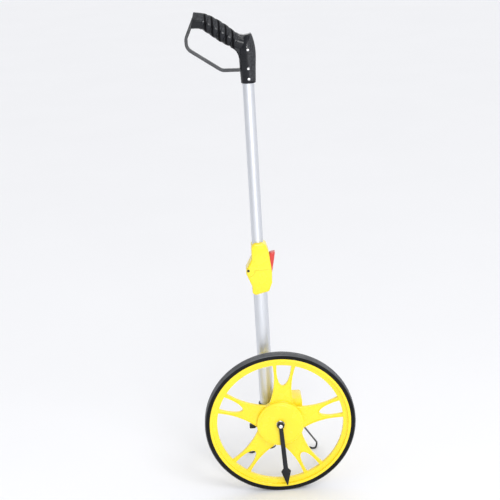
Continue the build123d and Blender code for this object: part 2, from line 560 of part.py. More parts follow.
# Stand: one bent wire in the barrel, with a hooked foot on the ground each side
foot_z = STAND_WIRE_RADIUS
wire_side = []
for way in (1, -1):
    bend_x = STAND_CENTRE + way * (STAND_HALF_SPAN + STAND_BEND)
    foot_x = STAND_CENTRE + way * STAND_FOOT_SPREAD
    wire_side.append([
        (bend_x, STAND_Y, STAND_Z), (foot_x, STAND_FOOT_Y, foot_z),
        (foot_x - way * STAND_HEEL_IN, STAND_HEEL_Y, foot_z),
        (foot_x - way * STAND_TOE_IN, STAND_TOE_Y, foot_z),
    ])
route = list(reversed(wire_side[1])) + wire_side[0]
wire_path = FilletPolyline(*route, radius=STAND_BEND)
wire_start = Plane(origin=wire_path @ 0, z_dir=wire_path % 0)
parts["stand_wire"] = sweep(wire_start * Circle(STAND_WIRE_RADIUS), path=wire_path)

# Reset lever, with its pad beside the tube
lever = rod(RESET_BOSS_RADIUS, RESET_FRONT, RESET_BACK, RESET_PIVOT_X, RESET_Z)
lever += block(RESET_PIVOT_X - PAD_OUT + PAD_LENGTH / 2, RESET_PIVOT_X, RESET_FRONT, RESET_BACK,
               RESET_Z - RESET_ARM / 2, RESET_Z + RESET_ARM / 2)
pad = block(RESET_PIVOT_X - PAD_OUT, RESET_PIVOT_X - PAD_OUT + PAD_LENGTH, RESET_FRONT - PAD_LEAD,
            RESET_FRONT - PAD_LEAD + PAD_WIDTH, RESET_Z - PAD_HEIGHT / 2, RESET_Z + PAD_HEIGHT / 2)
lever += fillet(pad.edges().filter_by(Axis.Y), PAD_CORNER)
parts["reset_lever"] = lever - rod(RESET_PIN_RADIUS + RUNNING_CLEARANCE, RESET_FRONT - 1, RESET_BACK + 1,
                                   RESET_PIVOT_X, RESET_Z)

# Folding joint: one egg-shaped body cut in two at the pivot's height
side = LOWER_TUBE_RADIUS + JOINT_SIDE_WALL
joint_outline = [
    (-side + 9, 57), (side - 8, 57.5), (side, 52), (side + 5, 37), (side + 8, 8), (side + 9.5, -8),
    (side + 8.5, -31), (side + 1.5, -48), (-side + 5.5, -55), (-side, -50), (-side, -36),
    (-side - 10.5, -8), (-side - 10.5, 1), (-side + 2, 24), (-side + 3, 51),
]
outline = make_face(Polyline(*joint_outline, close=True))
outline = Pos(TUBE_X, FOLD_Z) * fillet(outline.vertices(), JOINT_CORNER)
joint_front = TUBE_Y - JOINT_HALF_WIDTH
joint_back = TUBE_Y + JOINT_HALF_WIDTH
egg = slab(outline, joint_front, joint_back)
face_edges = egg.faces().filter_by(Axis.Y).edges()
egg = chamfer(face_edges, JOINT_EDGE)
far = 100.0
upper_zone = block(TUBE_X - far, TUBE_X + far, joint_front - 1, joint_back + 1,
                   FOLD_Z + FOLD_GAP / 2, FOLD_Z + far)
lower_zone = block(TUBE_X - far, TUBE_X + far, joint_front - 1, joint_back + 1,
                   FOLD_Z - far, FOLD_Z - FOLD_GAP / 2)
tongue_front = TUBE_Y - TONGUE_HALF_WIDTH
tongue_back = TUBE_Y + TONGUE_HALF_WIDTH
ear_front = tongue_front - KNUCKLE_SIDE_GAP
ear_back = tongue_back + KNUCKLE_SIDE_GAP
upper_half = egg & upper_zone
upper_half -= rod(KNUCKLE_RELIEF, ear_front, ear_back, FOLD_AT, FOLD_Z)
knuckle_radius = KNUCKLE_RELIEF - KNUCKLE_CLEARANCE
upper_half += egg & rod(knuckle_radius, joint_front, ear_front, FOLD_AT, FOLD_Z)
upper_half += egg & rod(knuckle_radius, ear_back, joint_back, FOLD_AT, FOLD_Z)
lower_half = egg & lower_zone
lower_half -= rod(KNUCKLE_RELIEF, joint_front - 1, tongue_front, FOLD_AT, FOLD_Z)
lower_half -= rod(KNUCKLE_RELIEF, tongue_back, joint_back + 1, FOLD_AT, FOLD_Z)
lower_half += egg & rod(knuckle_radius, tongue_front, tongue_back, FOLD_AT, FOLD_Z)
fold_pin = rod(FOLD_PIN_RADIUS, joint_front - FOLD_PIN_PROUD, joint_back + FOLD_PIN_PROUD, FOLD_AT, FOLD_Z)
parts["fold_pin"] = fold_pin
lower_half -= fold_pin
upper_half -= rod(FOLD_PIN_RADIUS + RUNNING_CLEARANCE, joint_front - 1, joint_back + 1, FOLD_AT, FOLD_Z)
lower_half -= upright(LOWER_TUBE_RADIUS, FOLD_Z - far, LOWER_TUBE_TOP)
upper_half -= upright(UPPER_TUBE_RADIUS, UPPER_TUBE_END, FOLD_Z + far)

# Latch lever in the upper half, with its nose in a pocket of the lower half
latch_front = TUBE_Y - LATCH_HALF_WIDTH
latch_back = TUBE_Y + LATCH_HALF_WIDTH
latch_outline = [
    (3.6, 18), (14, 19.5), (11, 2), (6, -24), (4, -37.5), (-3, -37.5), (-3, -33.5), (1, -30.5), (0, -5),
    (-3, 4),
]
latch_face = Pos(LATCH_AT, LATCH_Z) * make_face(Polyline(*latch_outline, close=True))
latch = slab(latch_face, latch_front, latch_back)
latch += rod(LATCH_BOSS_RADIUS, latch_front, latch_back, LATCH_AT, LATCH_Z)
parts["latch_lever"] = latch - rod(LATCH_PIN_RADIUS + RUNNING_CLEARANCE, latch_front - 1, latch_back + 1,
                                   LATCH_AT, LATCH_Z)
slot_front = latch_front - LATCH_SIDE_GAP
slot_back = latch_back + SPRING_ROOM
slot_left = LATCH_AT - LATCH_BOSS_RADIUS - LATCH_BOSS_GAP
slot_right = LATCH_AT + far
upper_half -= block(slot_left, slot_right, slot_front, slot_back, FOLD_Z, LATCH_Z + LATCH_SLOT_RISE)
lower_half -= block(slot_left, slot_right, slot_front, slot_back, FOLD_Z - LATCH_POCKET_DEPTH, FOLD_Z)
latch_pin = rod(LATCH_PIN_RADIUS, slot_front - LATCH_PIN_HOLD, slot_back + LATCH_PIN_HOLD, LATCH_AT, LATCH_Z)
parts["latch_pin"] = latch_pin
parts["latch_spring"] = coil(LATCH_PIN_RADIUS, latch_back + 2 * SPRING_WIRE, LATCH_AT, LATCH_Z)
upper_half -= latch_pin
lower_pins = Part()
upper_pins = Part()
for drop in LOWER_PIN_DROPS:
    lower_pins += rod(JOINT_PIN_RADIUS, joint_front + JOINT_PIN_SINK, joint_back - JOINT_PIN_SINK,
                      TUBE_X, FOLD_Z - drop)
for rise in UPPER_PIN_RISES:
    upper_pins += rod(JOINT_PIN_RADIUS, joint_front + JOINT_PIN_SINK, joint_back - JOINT_PIN_SINK,
                      TUBE_X, FOLD_Z + rise)
parts["lower_joint_pins"] = lower_pins
parts["upper_joint_pins"] = upper_pins
parts["joint_lower_half"] = lower_half - lower_pins
parts["joint_upper_half"] = upper_half - upper_pins
parts["lower_tube"] = lower_tube - lower_pins - clamp_screws

# Handle: two shells over the tube's top, a knuckle guard and screws. Heights are from the tube's top
grip_stations = [
    (-99.3, 54.5, -12, 15.8, 13.0), (-79.6, 51.5, -23, 15.3, GRIP_HALF_WIDTH),
    (-62, 41, -26, 16.4, GRIP_HALF_WIDTH), (-42, 26.5, -28, 16.8, GRIP_HALF_WIDTH),
    (-21, 12.5, -22, 14.6, 13.5), (3, 4, -15, 13.4, 12.0),
]
neck_stations = [
    (0.4, -70.4, 0, 2.8, 2.8), (0.6, -42, 0, 4.1, 3.7), (1.3, -17, 0, 4.9, 4.1),
    (1.2, 2, 0, 3.9, 3.5), (2.6, 19.5, 23, -2.0, -0.5),
]


def grip_section(x, rise, slope, half_height, half_width):
    """An ellipse across the grip, whose line climbs by slope degrees along +X."""
    along = (cos(radians(slope)), 0, sin(radians(slope)))
    across = Plane(origin=(TUBE_X + x, TUBE_Y, UPPER_TUBE_TOP + rise), x_dir=(0, 1, 0), z_dir=along)
    return across * Ellipse(half_width, half_height)


def neck_section(x, rise, tilt, side_wall, front_wall):
    """An ellipse round the tube, tilted by tilt degrees towards the grip."""
    level = Pos(TUBE_X + x, TUBE_Y, UPPER_TUBE_TOP + rise) * Rot(0, -tilt, 0)
    return level * Ellipse(UPPER_TUBE_RADIUS + side_wall, UPPER_TUBE_RADIUS + front_wall)


hollow = [(x, rise, slope, height - SHELL_WALL, width - SHELL_WALL)
          for x, rise, slope, height, width in grip_stations[1:5]]
handle = loft([grip_section(*station) for station in grip_stations])
handle += loft([neck_section(*station) for station in neck_stations])
handle -= loft([grip_section(*station) for station in hollow])
handle -= upright(UPPER_TUBE_RADIUS, UPPER_TUBE_END, UPPER_TUBE_TOP)
guard_route = [(-97, 59), (-114.5, 21), (-114.5, 2), (-49.5, -43.6), (-12.5, -44.8)]
guard_line = FilletPolyline(*guard_route, radius=GUARD_CORNER)
guard_face = Pos(TUBE_X, UPPER_TUBE_TOP) * trace(guard_line, GUARD_THICKNESS)
guard = slab(guard_face, TUBE_Y - GUARD_WIDTH / 2, TUBE_Y + GUARD_WIDTH / 2)
parts["knuckle_guard"] = guard
handle -= guard
handle_screws = Part()
screw_spots = ((2.2, -5.5), (1.4, -41.5), (1.4, -61.5))
seat = TUBE_Y - HANDLE_SCREW_SEAT
for x, rise in screw_spots:
    spot = (TUBE_X + x, UPPER_TUBE_TOP + rise)
    handle_screws += pan_screw(HANDLE_SCREW_RADIUS, HANDLE_HEAD_RADIUS, HANDLE_HEAD_HEIGHT, *spot,
                               seat, HANDLE_SCREW_LENGTH)
    handle -= rod(HANDLE_HEAD_RADIUS, seat - HANDLE_SCREW_SEAT, seat, *spot)
handle -= handle_screws
middle = Plane(origin=(TUBE_X, TUBE_Y, 0), x_dir=(1, 0, 0), z_dir=(0, -1, 0))
parts["handle_front_shell"] = split(handle, bisect_by=middle, keep=Keep.TOP)
parts["handle_rear_shell"] = split(handle, bisect_by=middle, keep=Keep.BOTTOM)
parts["handle_screws"] = handle_screws
upper_tube = upright(UPPER_TUBE_RADIUS, UPPER_TUBE_END, UPPER_TUBE_TOP)
upper_tube -= upright(UPPER_TUBE_RADIUS - TUBE_WALL, UPPER_TUBE_END, UPPER_TUBE_TOP)
parts["upper_tube"] = upper_tube - upper_pins - handle_screws

os.makedirs("parts", exist_ok=True)
for name, shape in parts.items():
    export_step(shape, f"parts/{name}.step")
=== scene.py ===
import json
from math import asin, atan2, cos, pi, radians, sin

import bpy
from mathutils import Matrix, Vector


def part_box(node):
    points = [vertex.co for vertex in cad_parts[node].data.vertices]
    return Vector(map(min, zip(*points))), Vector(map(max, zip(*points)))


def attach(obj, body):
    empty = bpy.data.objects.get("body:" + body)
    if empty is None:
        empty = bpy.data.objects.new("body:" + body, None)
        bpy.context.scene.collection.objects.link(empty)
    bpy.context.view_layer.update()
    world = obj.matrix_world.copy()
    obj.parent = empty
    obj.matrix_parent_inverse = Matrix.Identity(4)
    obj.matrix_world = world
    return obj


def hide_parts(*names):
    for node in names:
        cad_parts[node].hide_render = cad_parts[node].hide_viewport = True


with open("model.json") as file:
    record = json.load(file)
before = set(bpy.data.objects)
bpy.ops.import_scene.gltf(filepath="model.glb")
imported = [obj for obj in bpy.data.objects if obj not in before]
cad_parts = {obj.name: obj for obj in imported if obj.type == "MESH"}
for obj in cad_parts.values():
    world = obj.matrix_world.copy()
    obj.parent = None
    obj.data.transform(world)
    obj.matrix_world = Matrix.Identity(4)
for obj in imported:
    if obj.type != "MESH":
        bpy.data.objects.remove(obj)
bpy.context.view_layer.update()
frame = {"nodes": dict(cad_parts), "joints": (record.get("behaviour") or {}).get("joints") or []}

bl_info = {
    "name": "Folding Measuring Wheel",
    "version": (1, 0, 0),
    "blender": (4, 5, 0),
    "location": "View3D > Sidebar > Measuring Wheel",
    "description": "Models a folding measuring wheel around its fixed frame of working parts",
    "category": "Add Mesh",
}

MM = 0.001
JOINT_AT = {joint["name"]: Vector(joint["pos_m"]) for joint in frame["joints"]}
AXLE = JOINT_AT["wheel_spin"]
FOLD = JOINT_AT["mast_fold"]
DRUM_LINE = JOINT_AT["ones_spin"]
DRUMS = ("tenths", "ones", "tens", "hundreds", "thousands")


def middle_of(node):
    low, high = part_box(node)
    return (low + high) / 2


TUBE = middle_of("upper_tube")
TUBE_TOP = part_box("upper_tube")[1].z
MERGE_GAP = 2e-6


# ---------------------------------------------------------------- sizes and colours

def length(name, description, default_mm):
    return bpy.props.FloatProperty(name=name, description=description, default=default_mm * MM,
                                   min=0.0, unit="LENGTH", precision=5)


def colour(name, description, default):
    return bpy.props.FloatVectorProperty(name=name, description=description, default=default,
                                         min=0.0, max=1.0, size=3, subtype="COLOR")


class WheelSizes(bpy.types.PropertyGroup):
    tread_groove: length("Tread groove", "Width and depth of each groove in the tread", 1.2)
    rim_round: length("Rim round", "Radius of the rim's moulded edges", 0.8)
    spoke_border: length("Spoke border", "Width of the raised border round each spoke", 2.8)
    spoke_recess: length("Spoke recess", "How deep a spoke's field lies under its border", 1.3)
    edge_round: length("Edge round", "Radius of the edges of other moulded parts", 0.6)


class HandleSizes(bpy.types.PropertyGroup):
    groove_depth: length("Groove depth", "Depth of the grooves between the grip's rings", 2.3)
    groove_width: length("Groove width", "Width of the grooves between the grip's rings", 3.8)
    groove_pitch: length("Groove pitch", "Distance along the tube's X from one groove to the next", 12.6)
    ring_bulge: length("Ring bulge", "How far each ring of the grip swells between its grooves", 0.6)
    voxel: length("Mesh size", "Size of the grip's mesh before it is smoothed", 0.65)
    guard_channel: length("Guard channel", "Depth of the channel along the knuckle guard", 0.7)


class Colours(bpy.types.PropertyGroup):
    yellow: colour("Yellow", "Moulded yellow plastic", (0.955, 0.745, 0.022))
    black: colour("Black", "Moulded black plastic", (0.018, 0.019, 0.022))
    grip: colour("Grip", "Smooth black of the grip", (0.009, 0.010, 0.013))
    # Painted shade: darker than the grip, so that the grip's grooves look shaded.
    groove: colour("Groove", "Black inside the grip's grooves", (0.003, 0.003, 0.004))
    # Painted sheen: a dark grey, lighter than the other black, stands for the light that the guard bar
    # reflects.
    guard: colour("Guard", "Knuckle guard", (0.065, 0.067, 0.072))
    rubber: colour("Rubber", "Tyre rubber", (0.007, 0.0075, 0.008))
    # Painted sheen, not dust: the tread's grey is lighter than the rubber and stands for the light that
    # grazes the tread.
    tread: colour("Tread", "Dusty rubber of the tread", (0.045, 0.048, 0.054))
    red: colour("Red", "Latch lever", (0.62, 0.035, 0.03))
    aluminium: colour("Aluminium", "Anodised tube", (0.72, 0.74, 0.78))
    steel: colour("Steel", "Zinc plated steel", (0.74, 0.74, 0.76))
    nylon: colour("Nylon", "Bushes and gears", (0.82, 0.80, 0.72))
    floor: colour("Floor", "Studio floor", (0.90, 0.90, 0.915))


class MeasuringWheelSettings(bpy.types.PropertyGroup):
    wheel: bpy.props.PointerProperty(type=WheelSizes)
    handle: bpy.props.PointerProperty(type=HandleSizes)
    colours: bpy.props.PointerProperty(type=Colours)


def settings():
    return bpy.context.scene.measuring_wheel


# ---------------------------------------------------------------- modelling tools

def deselect():
    if bpy.context.object and bpy.context.object.mode != "OBJECT":
        bpy.ops.object.mode_set(mode="OBJECT")
    bpy.ops.object.select_all(action="DESELECT")


def activate(obj):
    deselect()
    obj.select_set(True)
    bpy.context.view_layer.objects.active = obj
    return obj


def edit(obj, select_mode="VERT"):
    activate(obj)
    bpy.ops.object.mode_set(mode="EDIT")
    bpy.ops.mesh.select_mode(type=select_mode)
    bpy.ops.mesh.select_all(action="SELECT")


def clean(obj):
    """Merges doubles and turns every face outwards."""
    edit(obj)
    bpy.ops.mesh.remove_doubles(threshold=MERGE_GAP)
    bpy.ops.mesh.normals_make_consistent(inside=False)
    bpy.ops.object.mode_set(mode="OBJECT")
    return obj


def apply(obj, kind, **values):
    """Adds a modifier and applies it."""
    activate(obj)
    modifier = obj.modifiers.new(kind.lower(), kind)
    for name, value in values.items():
        setattr(modifier, name, value)
    bpy.ops.object.modifier_apply(modifier=modifier.name)
    return obj


def spot(co):
    return tuple(round(value, 7) for value in co)


def lofted(name, rings):
    """A face on the first ring, extruded from ring to ring."""
    deselect()
    bpy.ops.mesh.primitive_circle_add(vertices=len(rings[0]), fill_type="NGON")
    obj = bpy.context.object
    obj.name = name
    for vertex, place in zip(obj.data.vertices, rings[0]):
        vertex.co = place
    edit(obj)
    for before, ring in zip(rings, rings[1:]):
        bpy.ops.object.mode_set(mode="EDIT")
        bpy.ops.mesh.extrude_region_move()
        bpy.ops.object.mode_set(mode="OBJECT")
        moves = {spot(old): new for old, new in zip(before, ring)}
        for vertex in obj.data.vertices:
            if vertex.select:
                vertex.co = moves.get(spot(vertex.co)) or nearest(vertex.co, before, ring)
    return clean(obj)


def nearest(co, before, ring):
    """The ring's point that follows the point of the last ring nearest to co."""
    gaps = [(point - co).length for point in before]
    return ring[gaps.index(min(gaps))]


def plate(name, outline, y_front, y_back):
    """A plate from an outline in X and Z."""
    front = [Vector((x, y_front, z)) for x, z in outline]
    back = [Vector((x, y_back, z)) for x, z in outline]
    return lofted(name, [front, back])


def open_outline(obj):
    """Deletes the edge that joins an outline's last point to its first."""
    ends = {0, len(obj.data.vertices) - 1}
    edit(obj, "EDGE")
    bpy.ops.mesh.select_all(action="DESELECT")
    bpy.ops.object.mode_set(mode="OBJECT")
    for edge in obj.data.edges:
        edge.select = set(edge.vertices) == ends
    bpy.ops.object.mode_set(mode="EDIT")
    bpy.ops.mesh.delete(type="EDGE")


def spun(name, profile, line, steps=128, closed=True):
    """Turns (radius, along Y) points about the Y axis through line; a closed profile is a ring."""
    deselect()
    bpy.ops.mesh.primitive_circle_add(vertices=len(profile), fill_type="NOTHING")
    obj = bpy.context.object
    obj.name = name
    for vertex, (radius, along) in zip(obj.data.vertices, profile):
        vertex.co = line + Vector((radius, along, 0))
    if not closed:
        open_outline(obj)
    edit(obj)
    bpy.ops.mesh.spin(steps=steps, angle=2 * pi, center=line, axis=(0, 1, 0))
    return clean(obj)


STRAIGHT = 0.02
SHARPEST_COSINE = 0.05
LONGEST_CUT = 0.45


def rounded(points, radius, steps=4):
    """A closed outline whose corners are replaced by arcs of about that radius."""
    result = []
    count = len(points)
    for number, point in enumerate(points):
        corner = Vector(point)
        one = Vector(points[number - 1]) - corner
        two = Vector(points[(number + 1) % count]) - corner
        turn = pi - one.angle(two)
        if turn < STRAIGHT:
            result.append(tuple(corner))
            continue
        wanted = radius * abs(sin(turn / 2) / max(cos(turn / 2), SHARPEST_COSINE))
        cut = min(wanted, one.length * LONGEST_CUT, two.length * LONGEST_CUT)
        start = corner + one.normalized() * cut
        end = corner + two.normalized() * cut
        for step in range(steps + 1):
            share = step / steps
            point_at = start * (1 - share) ** 2 + corner * 2 * share * (1 - share) + end * share ** 2
            result.append(tuple(point_at))
    return result


def bevelled(obj, width, segments=2, angle=35):
    return apply(obj, "BEVEL", width=width, segments=segments, limit_method="ANGLE",
                 angle_limit=radians(angle), harden_normals=False)


def combined(obj, other, operation):
    """Joins, cuts or keeps the overlap with another solid, which is used up."""
    apply(obj, "BOOLEAN", object=other, operation=operation, solver="MANIFOLD")
    bpy.data.objects.remove(other)
    if len(obj.data.polygons) == 0:
        raise RuntimeError(f"{obj.name} lost its faces")
    return obj


def smooth(obj, angle=32):
    activate(obj)
    bpy.ops.object.shade_smooth_by_angle(angle=radians(angle))
    return obj


def duplicate(obj, name):
    """A copy with its own mesh."""
    copy = obj.copy()
    copy.data = obj.data.copy()
    copy.name = name
    bpy.context.scene.collection.objects.link(copy)
    return copy


def copy_of(node, name):
    """A merged copy of a working part's mesh, ready to be shaped."""
    obj = duplicate(frame["nodes"][node], name)
    for key in list(obj.keys()):
        del obj[key]
    obj.parent = None
    obj.data.materials.clear()
    activate(obj)
    bpy.ops.mesh.customdata_custom_splitnormals_clear()
    edit(obj)
    bpy.ops.mesh.remove_doubles(threshold=MERGE_GAP)
    bpy.ops.mesh.dissolve_limited(angle_limit=radians(0.6))
    bpy.ops.object.mode_set(mode="OBJECT")
    return obj


def finish_piece(obj, body, slot, look, *nodes, smooth_angle=32):
    """Gives a finished piece its finish and its body, and hides the working parts that it stands for."""
    if len(obj.data.polygons) == 0:
        raise RuntimeError(f"{obj.name} has no faces")
    smooth(obj, smooth_angle)
    if look:
        dress(obj, look)
    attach(obj, body)
    if nodes:
        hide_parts(*nodes)
    return obj


def cover(nodes, look):
    """Gives working parts that stay as they are their finish."""
    for node in nodes:
        dress(frame["nodes"][node], look)
        smooth(frame["nodes"][node], 30)


# ---------------------------------------------------------------- finishes

NOISE_RANGE = (0.3, 0.7)


def map_range(tree, value, limits):
    """A value taken from the range of the first two limits to that of the last two."""
    node = tree.nodes.new("ShaderNodeMapRange")
    for socket, limit in zip(("From Min", "From Max", "To Min", "To Max"), limits):
        node.inputs[socket].default_value = limit
    tree.links.new(value, node.inputs["Value"])
    return node.outputs["Result"]


class Finish:
    """A material's node tree, with short calls for the nodes that the finishes share."""

    def __init__(self, name, base, roughness, metallic=0.0):
        self.material = bpy.data.materials.new(name)
        self.material.use_nodes = True
        self.tree = self.material.node_tree
        self.shader = self.tree.nodes["Principled BSDF"]
        self.base = base
        self.shader.inputs["Base Color"].default_value = (*base, 1)
        self.shader.inputs["Roughness"].default_value = roughness
        self.shader.inputs["Metallic"].default_value = metallic
        self.place = self.tree.nodes.new("ShaderNodeTexCoord").outputs["Object"]

    def mapped(self, scale):
        node = self.tree.nodes.new("ShaderNodeMapping")
        node.inputs["Scale"].default_value = scale
        self.tree.links.new(self.place, node.inputs["Vector"])
        return node.outputs["Vector"]

    def noise(self, scale, detail=3.0, stretch=(1, 1, 1)):
        node = self.tree.nodes.new("ShaderNodeTexNoise")
        node.inputs["Scale"].default_value = scale
        node.inputs["Detail"].default_value = detail
        self.tree.links.new(self.mapped(stretch), node.inputs["Vector"])
        return node.outputs["Fac"]

    def cells(self, scale):
        node = self.tree.nodes.new("ShaderNodeTexVoronoi")
        node.inputs["Scale"].default_value = scale
        self.tree.links.new(self.mapped((1, 1, 1)), node.inputs["Vector"])
        return node.outputs["Distance"]

    def ranged(self, value, low, high):
        return map_range(self.tree, value, (*NOISE_RANGE, low, high))

    def vary_roughness(self, value, low, high):
        self.tree.links.new(self.ranged(value, low, high), self.shader.inputs["Roughness"])

    def vary_colour(self, value, dark, light):
        """Mixes two shades of the base colour by a pattern's value."""
        node = self.tree.nodes.new("ShaderNodeMix")
        node.data_type = "RGBA"
        node.inputs["A"].default_value = (*[channel * dark for channel in self.base], 1)
        node.inputs["B"].default_value = (*[min(channel * light, 1) for channel in self.base], 1)
        self.tree.links.new(self.ranged(value, 0, 1), node.inputs["Factor"])
        self.tree.links.new(node.outputs["Result"], self.shader.inputs["Base Color"])

    def bump(self, value, strength, distance):
        node = self.tree.nodes.new("ShaderNodeBump")
        node.inputs["Strength"].default_value = strength
        node.inputs["Distance"].default_value = distance
        self.tree.links.new(value, node.inputs["Height"])
        previous = self.shader.inputs["Normal"]
        if previous.is_linked:
            self.tree.links.new(previous.links[0].from_socket, node.inputs["Normal"])
        self.tree.links.new(node.outputs["Normal"], previous)

    def set(self, **values):
        for name, value in values.items():
            self.shader.inputs[name.replace("_", " ")].default_value = value
        return self


def glossy_plastic(name, base, roughness=0.24):
    """Injection moulded plastic: faint flow marks, a soft orange peel and light scuffs."""
    finish = Finish(name, base, roughness)
    finish.vary_colour(finish.noise(14, 2), 0.955, 1.02)
    finish.vary_roughness(finish.noise(55, 4), roughness - 0.05, roughness + 0.10)
    finish.bump(finish.noise(420, 2), 0.10, 0.0002)
    finish.set(Coat_Weight=0.25, Coat_Roughness=0.12, Specular_IOR_Level=0.5)
    return finish.material


def black_plastic(name, base, roughness=0.34, grain=900, depth=0.12, shine=0.3):
    """Satin black plastic with a fine spark-eroded grain."""
    finish = Finish(name, base, roughness)
    finish.set(Specular_IOR_Level=shine)
    finish.vary_colour(finish.noise(30, 3), 0.8, 1.3)
    finish.vary_roughness(finish.noise(70, 4), roughness - 0.06, roughness + 0.12)
    finish.bump(finish.noise(grain, 2), depth, 0.0003)
    return finish.material


def stippled_plastic(name, base):
    """The grip's raised stipple, greyer where the tips are rubbed."""
    finish = Finish(name, base, 0.5)
    tips = finish.cells(620)
    finish.set(Specular_IOR_Level=0.35)
    finish.vary_colour(finish.noise(330, 4), 0.4, 2.6)
    finish.vary_roughness(finish.noise(90, 4), 0.42, 0.62)
    finish.bump(tips, 0.9, 0.0005)
    return finish.material


def rubber(name, base, shine):
    """Tyre rubber: matt, with a bloom of dust and a fine mould grain."""
    finish = Finish(name, base, 0.5)
    finish.vary_colour(finish.noise(24, 5), 0.75, 1.6)
    finish.vary_roughness(finish.noise(60, 4), 0.34, 0.52)
    finish.bump(finish.noise(800, 3), 0.25, 0.0002)
    finish.set(Specular_IOR_Level=shine)
    return finish.material


def anodised(name, base):
    """Drawn and anodised aluminium, with faint draw lines along the tube."""
    finish = Finish(name, base, 0.5, metallic=1.0)
    lines = finish.noise(240, 3, stretch=(1, 1, 0.02))
    finish.vary_colour(lines, 0.94, 1.03)
    finish.vary_roughness(finish.noise(160, 4, stretch=(1, 1, 0.05)), 0.44, 0.56)
    finish.bump(lines, 0.06, 0.0001)
    return finish.material


def plated_steel(name, base, roughness=0.22):
    """Bright plated steel with fine turning marks."""
    finish = Finish(name, base, roughness, metallic=1.0)
    finish.vary_colour(finish.noise(300, 3), 0.88, 1.05)
    finish.vary_roughness(finish.noise(500, 3), roughness - 0.06, roughness + 0.12)
    finish.bump(finish.noise(1500, 2), 0.08, 0.0001)
    return finish.material


def black_steel(name, base):
    """Blackened wire and pins."""
    finish = Finish(name, base, 0.32, metallic=0.35)
    finish.vary_colour(finish.noise(200, 4), 0.8, 1.5)
    finish.vary_roughness(finish.noise(260, 4), 0.24, 0.44)
    finish.bump(finish.noise(1200, 2), 0.1, 0.0001)
    return finish.material


def nylon(name, base):
    """Natural nylon, a little translucent."""
    finish = Finish(name, base, 0.42)
    finish.vary_colour(finish.noise(80, 3), 0.94, 1.04)
    finish.vary_roughness(finish.noise(200, 3), 0.36, 0.5)
    finish.bump(finish.noise(900, 2), 0.08, 0.0001)
    return finish.material


def clear_plastic(name):
    """The counter's clear window, with the odd fine scuff."""
    finish = Finish(name, (0.95, 0.97, 0.98), 0.04)
    finish.vary_roughness(finish.noise(180, 5), 0.02, 0.10)
    finish.set(Transmission_Weight=0.95, IOR=1.49)
    return finish.material


def make_finishes():
    """All finishes of the object, by a maker's short name."""
    colours = settings().colours
    return {
        "yellow": glossy_plastic("yellow_moulding", colours.yellow),
        "red": glossy_plastic("red_moulding", colours.red, 0.3),
        "black": black_plastic("black_moulding", colours.black, shine=0.2),
        "gloss_black": black_plastic("gloss_black_moulding", colours.grip, 0.22, 500, 0.06, shine=0.28),
        # Painted shade in the grip's grooves: near black, rough and dull.
        "groove": black_plastic("groove_painted_shade_moulding", colours.groove, 0.6, 900, 0.1, shine=0.1),
        # The guard's lighter grey is painted sheen.
        "guard_painted_sheen": black_plastic("guard_sheen_moulding", colours.guard, 0.3),
        "stipple": stippled_plastic("stippled_grip", colours.black),
        "rubber": rubber("tyre_rubber", colours.rubber, 0.15),
        # The tread's lighter grey is painted sheen.
        "tread": rubber("tread_painted_sheen", colours.tread, 0.6),
        "tube": anodised("anodised_tube", colours.aluminium),
        "steel": plated_steel("zinc_plate", colours.steel),
        "black_steel": black_steel("blackened_steel", colours.black),
        "nylon": nylon("natural_nylon", colours.nylon),
        "drum": black_plastic("drum_moulding", colours.black, 0.5),
        "digits": nylon("digit_paint", (0.9, 0.9, 0.88)),
        "window": clear_plastic("clear_window"),
    }


FINISHES = {}


def finish(name):
    if not FINISHES:
        FINISHES.update(make_finishes())
    return FINISHES[name]


def dress(obj, *names):
    """Gives an object several finishes, in the order of its faces' material numbers."""
    obj.data.materials.clear()
    for name in names:
        obj.data.materials.append(finish(name))


# ---------------------------------------------------------------- wheel

def wheel_outline(points, turn):
    """Points given as (out, across) on a spoke, in X and Z after a turn about the axle."""
    angle = radians(turn)
    return [(AXLE.x + out * cos(angle) - across * sin(angle),
             AXLE.z + out * sin(angle) + across * cos(angle)) for out, across in points]


def arc_through(start, waist, end, steps):
    """Points on the circle through three points."""
    (ax, ay), (bx, by), (cx, cy) = start, waist, end
    double = 2 * (ax * (by - cy) + bx * (cy - ay) + cx * (ay - by))
    a2, b2, c2 = ax * ax + ay * ay, bx * bx + by * by, cx * cx + cy * cy
    centre = Vector(((a2 * (by - cy) + b2 * (cy - ay) + c2 * (ay - by)) / double,
                     (a2 * (cx - bx) + b2 * (ax - cx) + c2 * (bx - ax)) / double))
    radius = (Vector(start) - centre).length
    first = atan2(ay - centre.y, ax - centre.x)
    last = atan2(cy - centre.y, cx - centre.x)
    sweep = (last - first + pi) % (2 * pi) - pi
    angles = [first + sweep * step / steps for step in range(steps + 1)]
    return [(centre.x + radius * cos(angle), centre.y + radius * sin(angle)) for angle in angles]


SPOKES = 5
SPOKE_TURN = 84.0
SPOKE_STEPS = 18
LEDGE_INSIDE = 133.2 * MM
BAND_INSIDE = 143.2 * MM
BAND_OUTSIDE = 149.2 * MM
WEB_HALF = 4 * MM
RIM_HALF = 10 * MM
RIB_HALF = 4 * MM
RIB_HEIGHT = 2 * MM
TREAD_DEPTH = 1.9 * MM


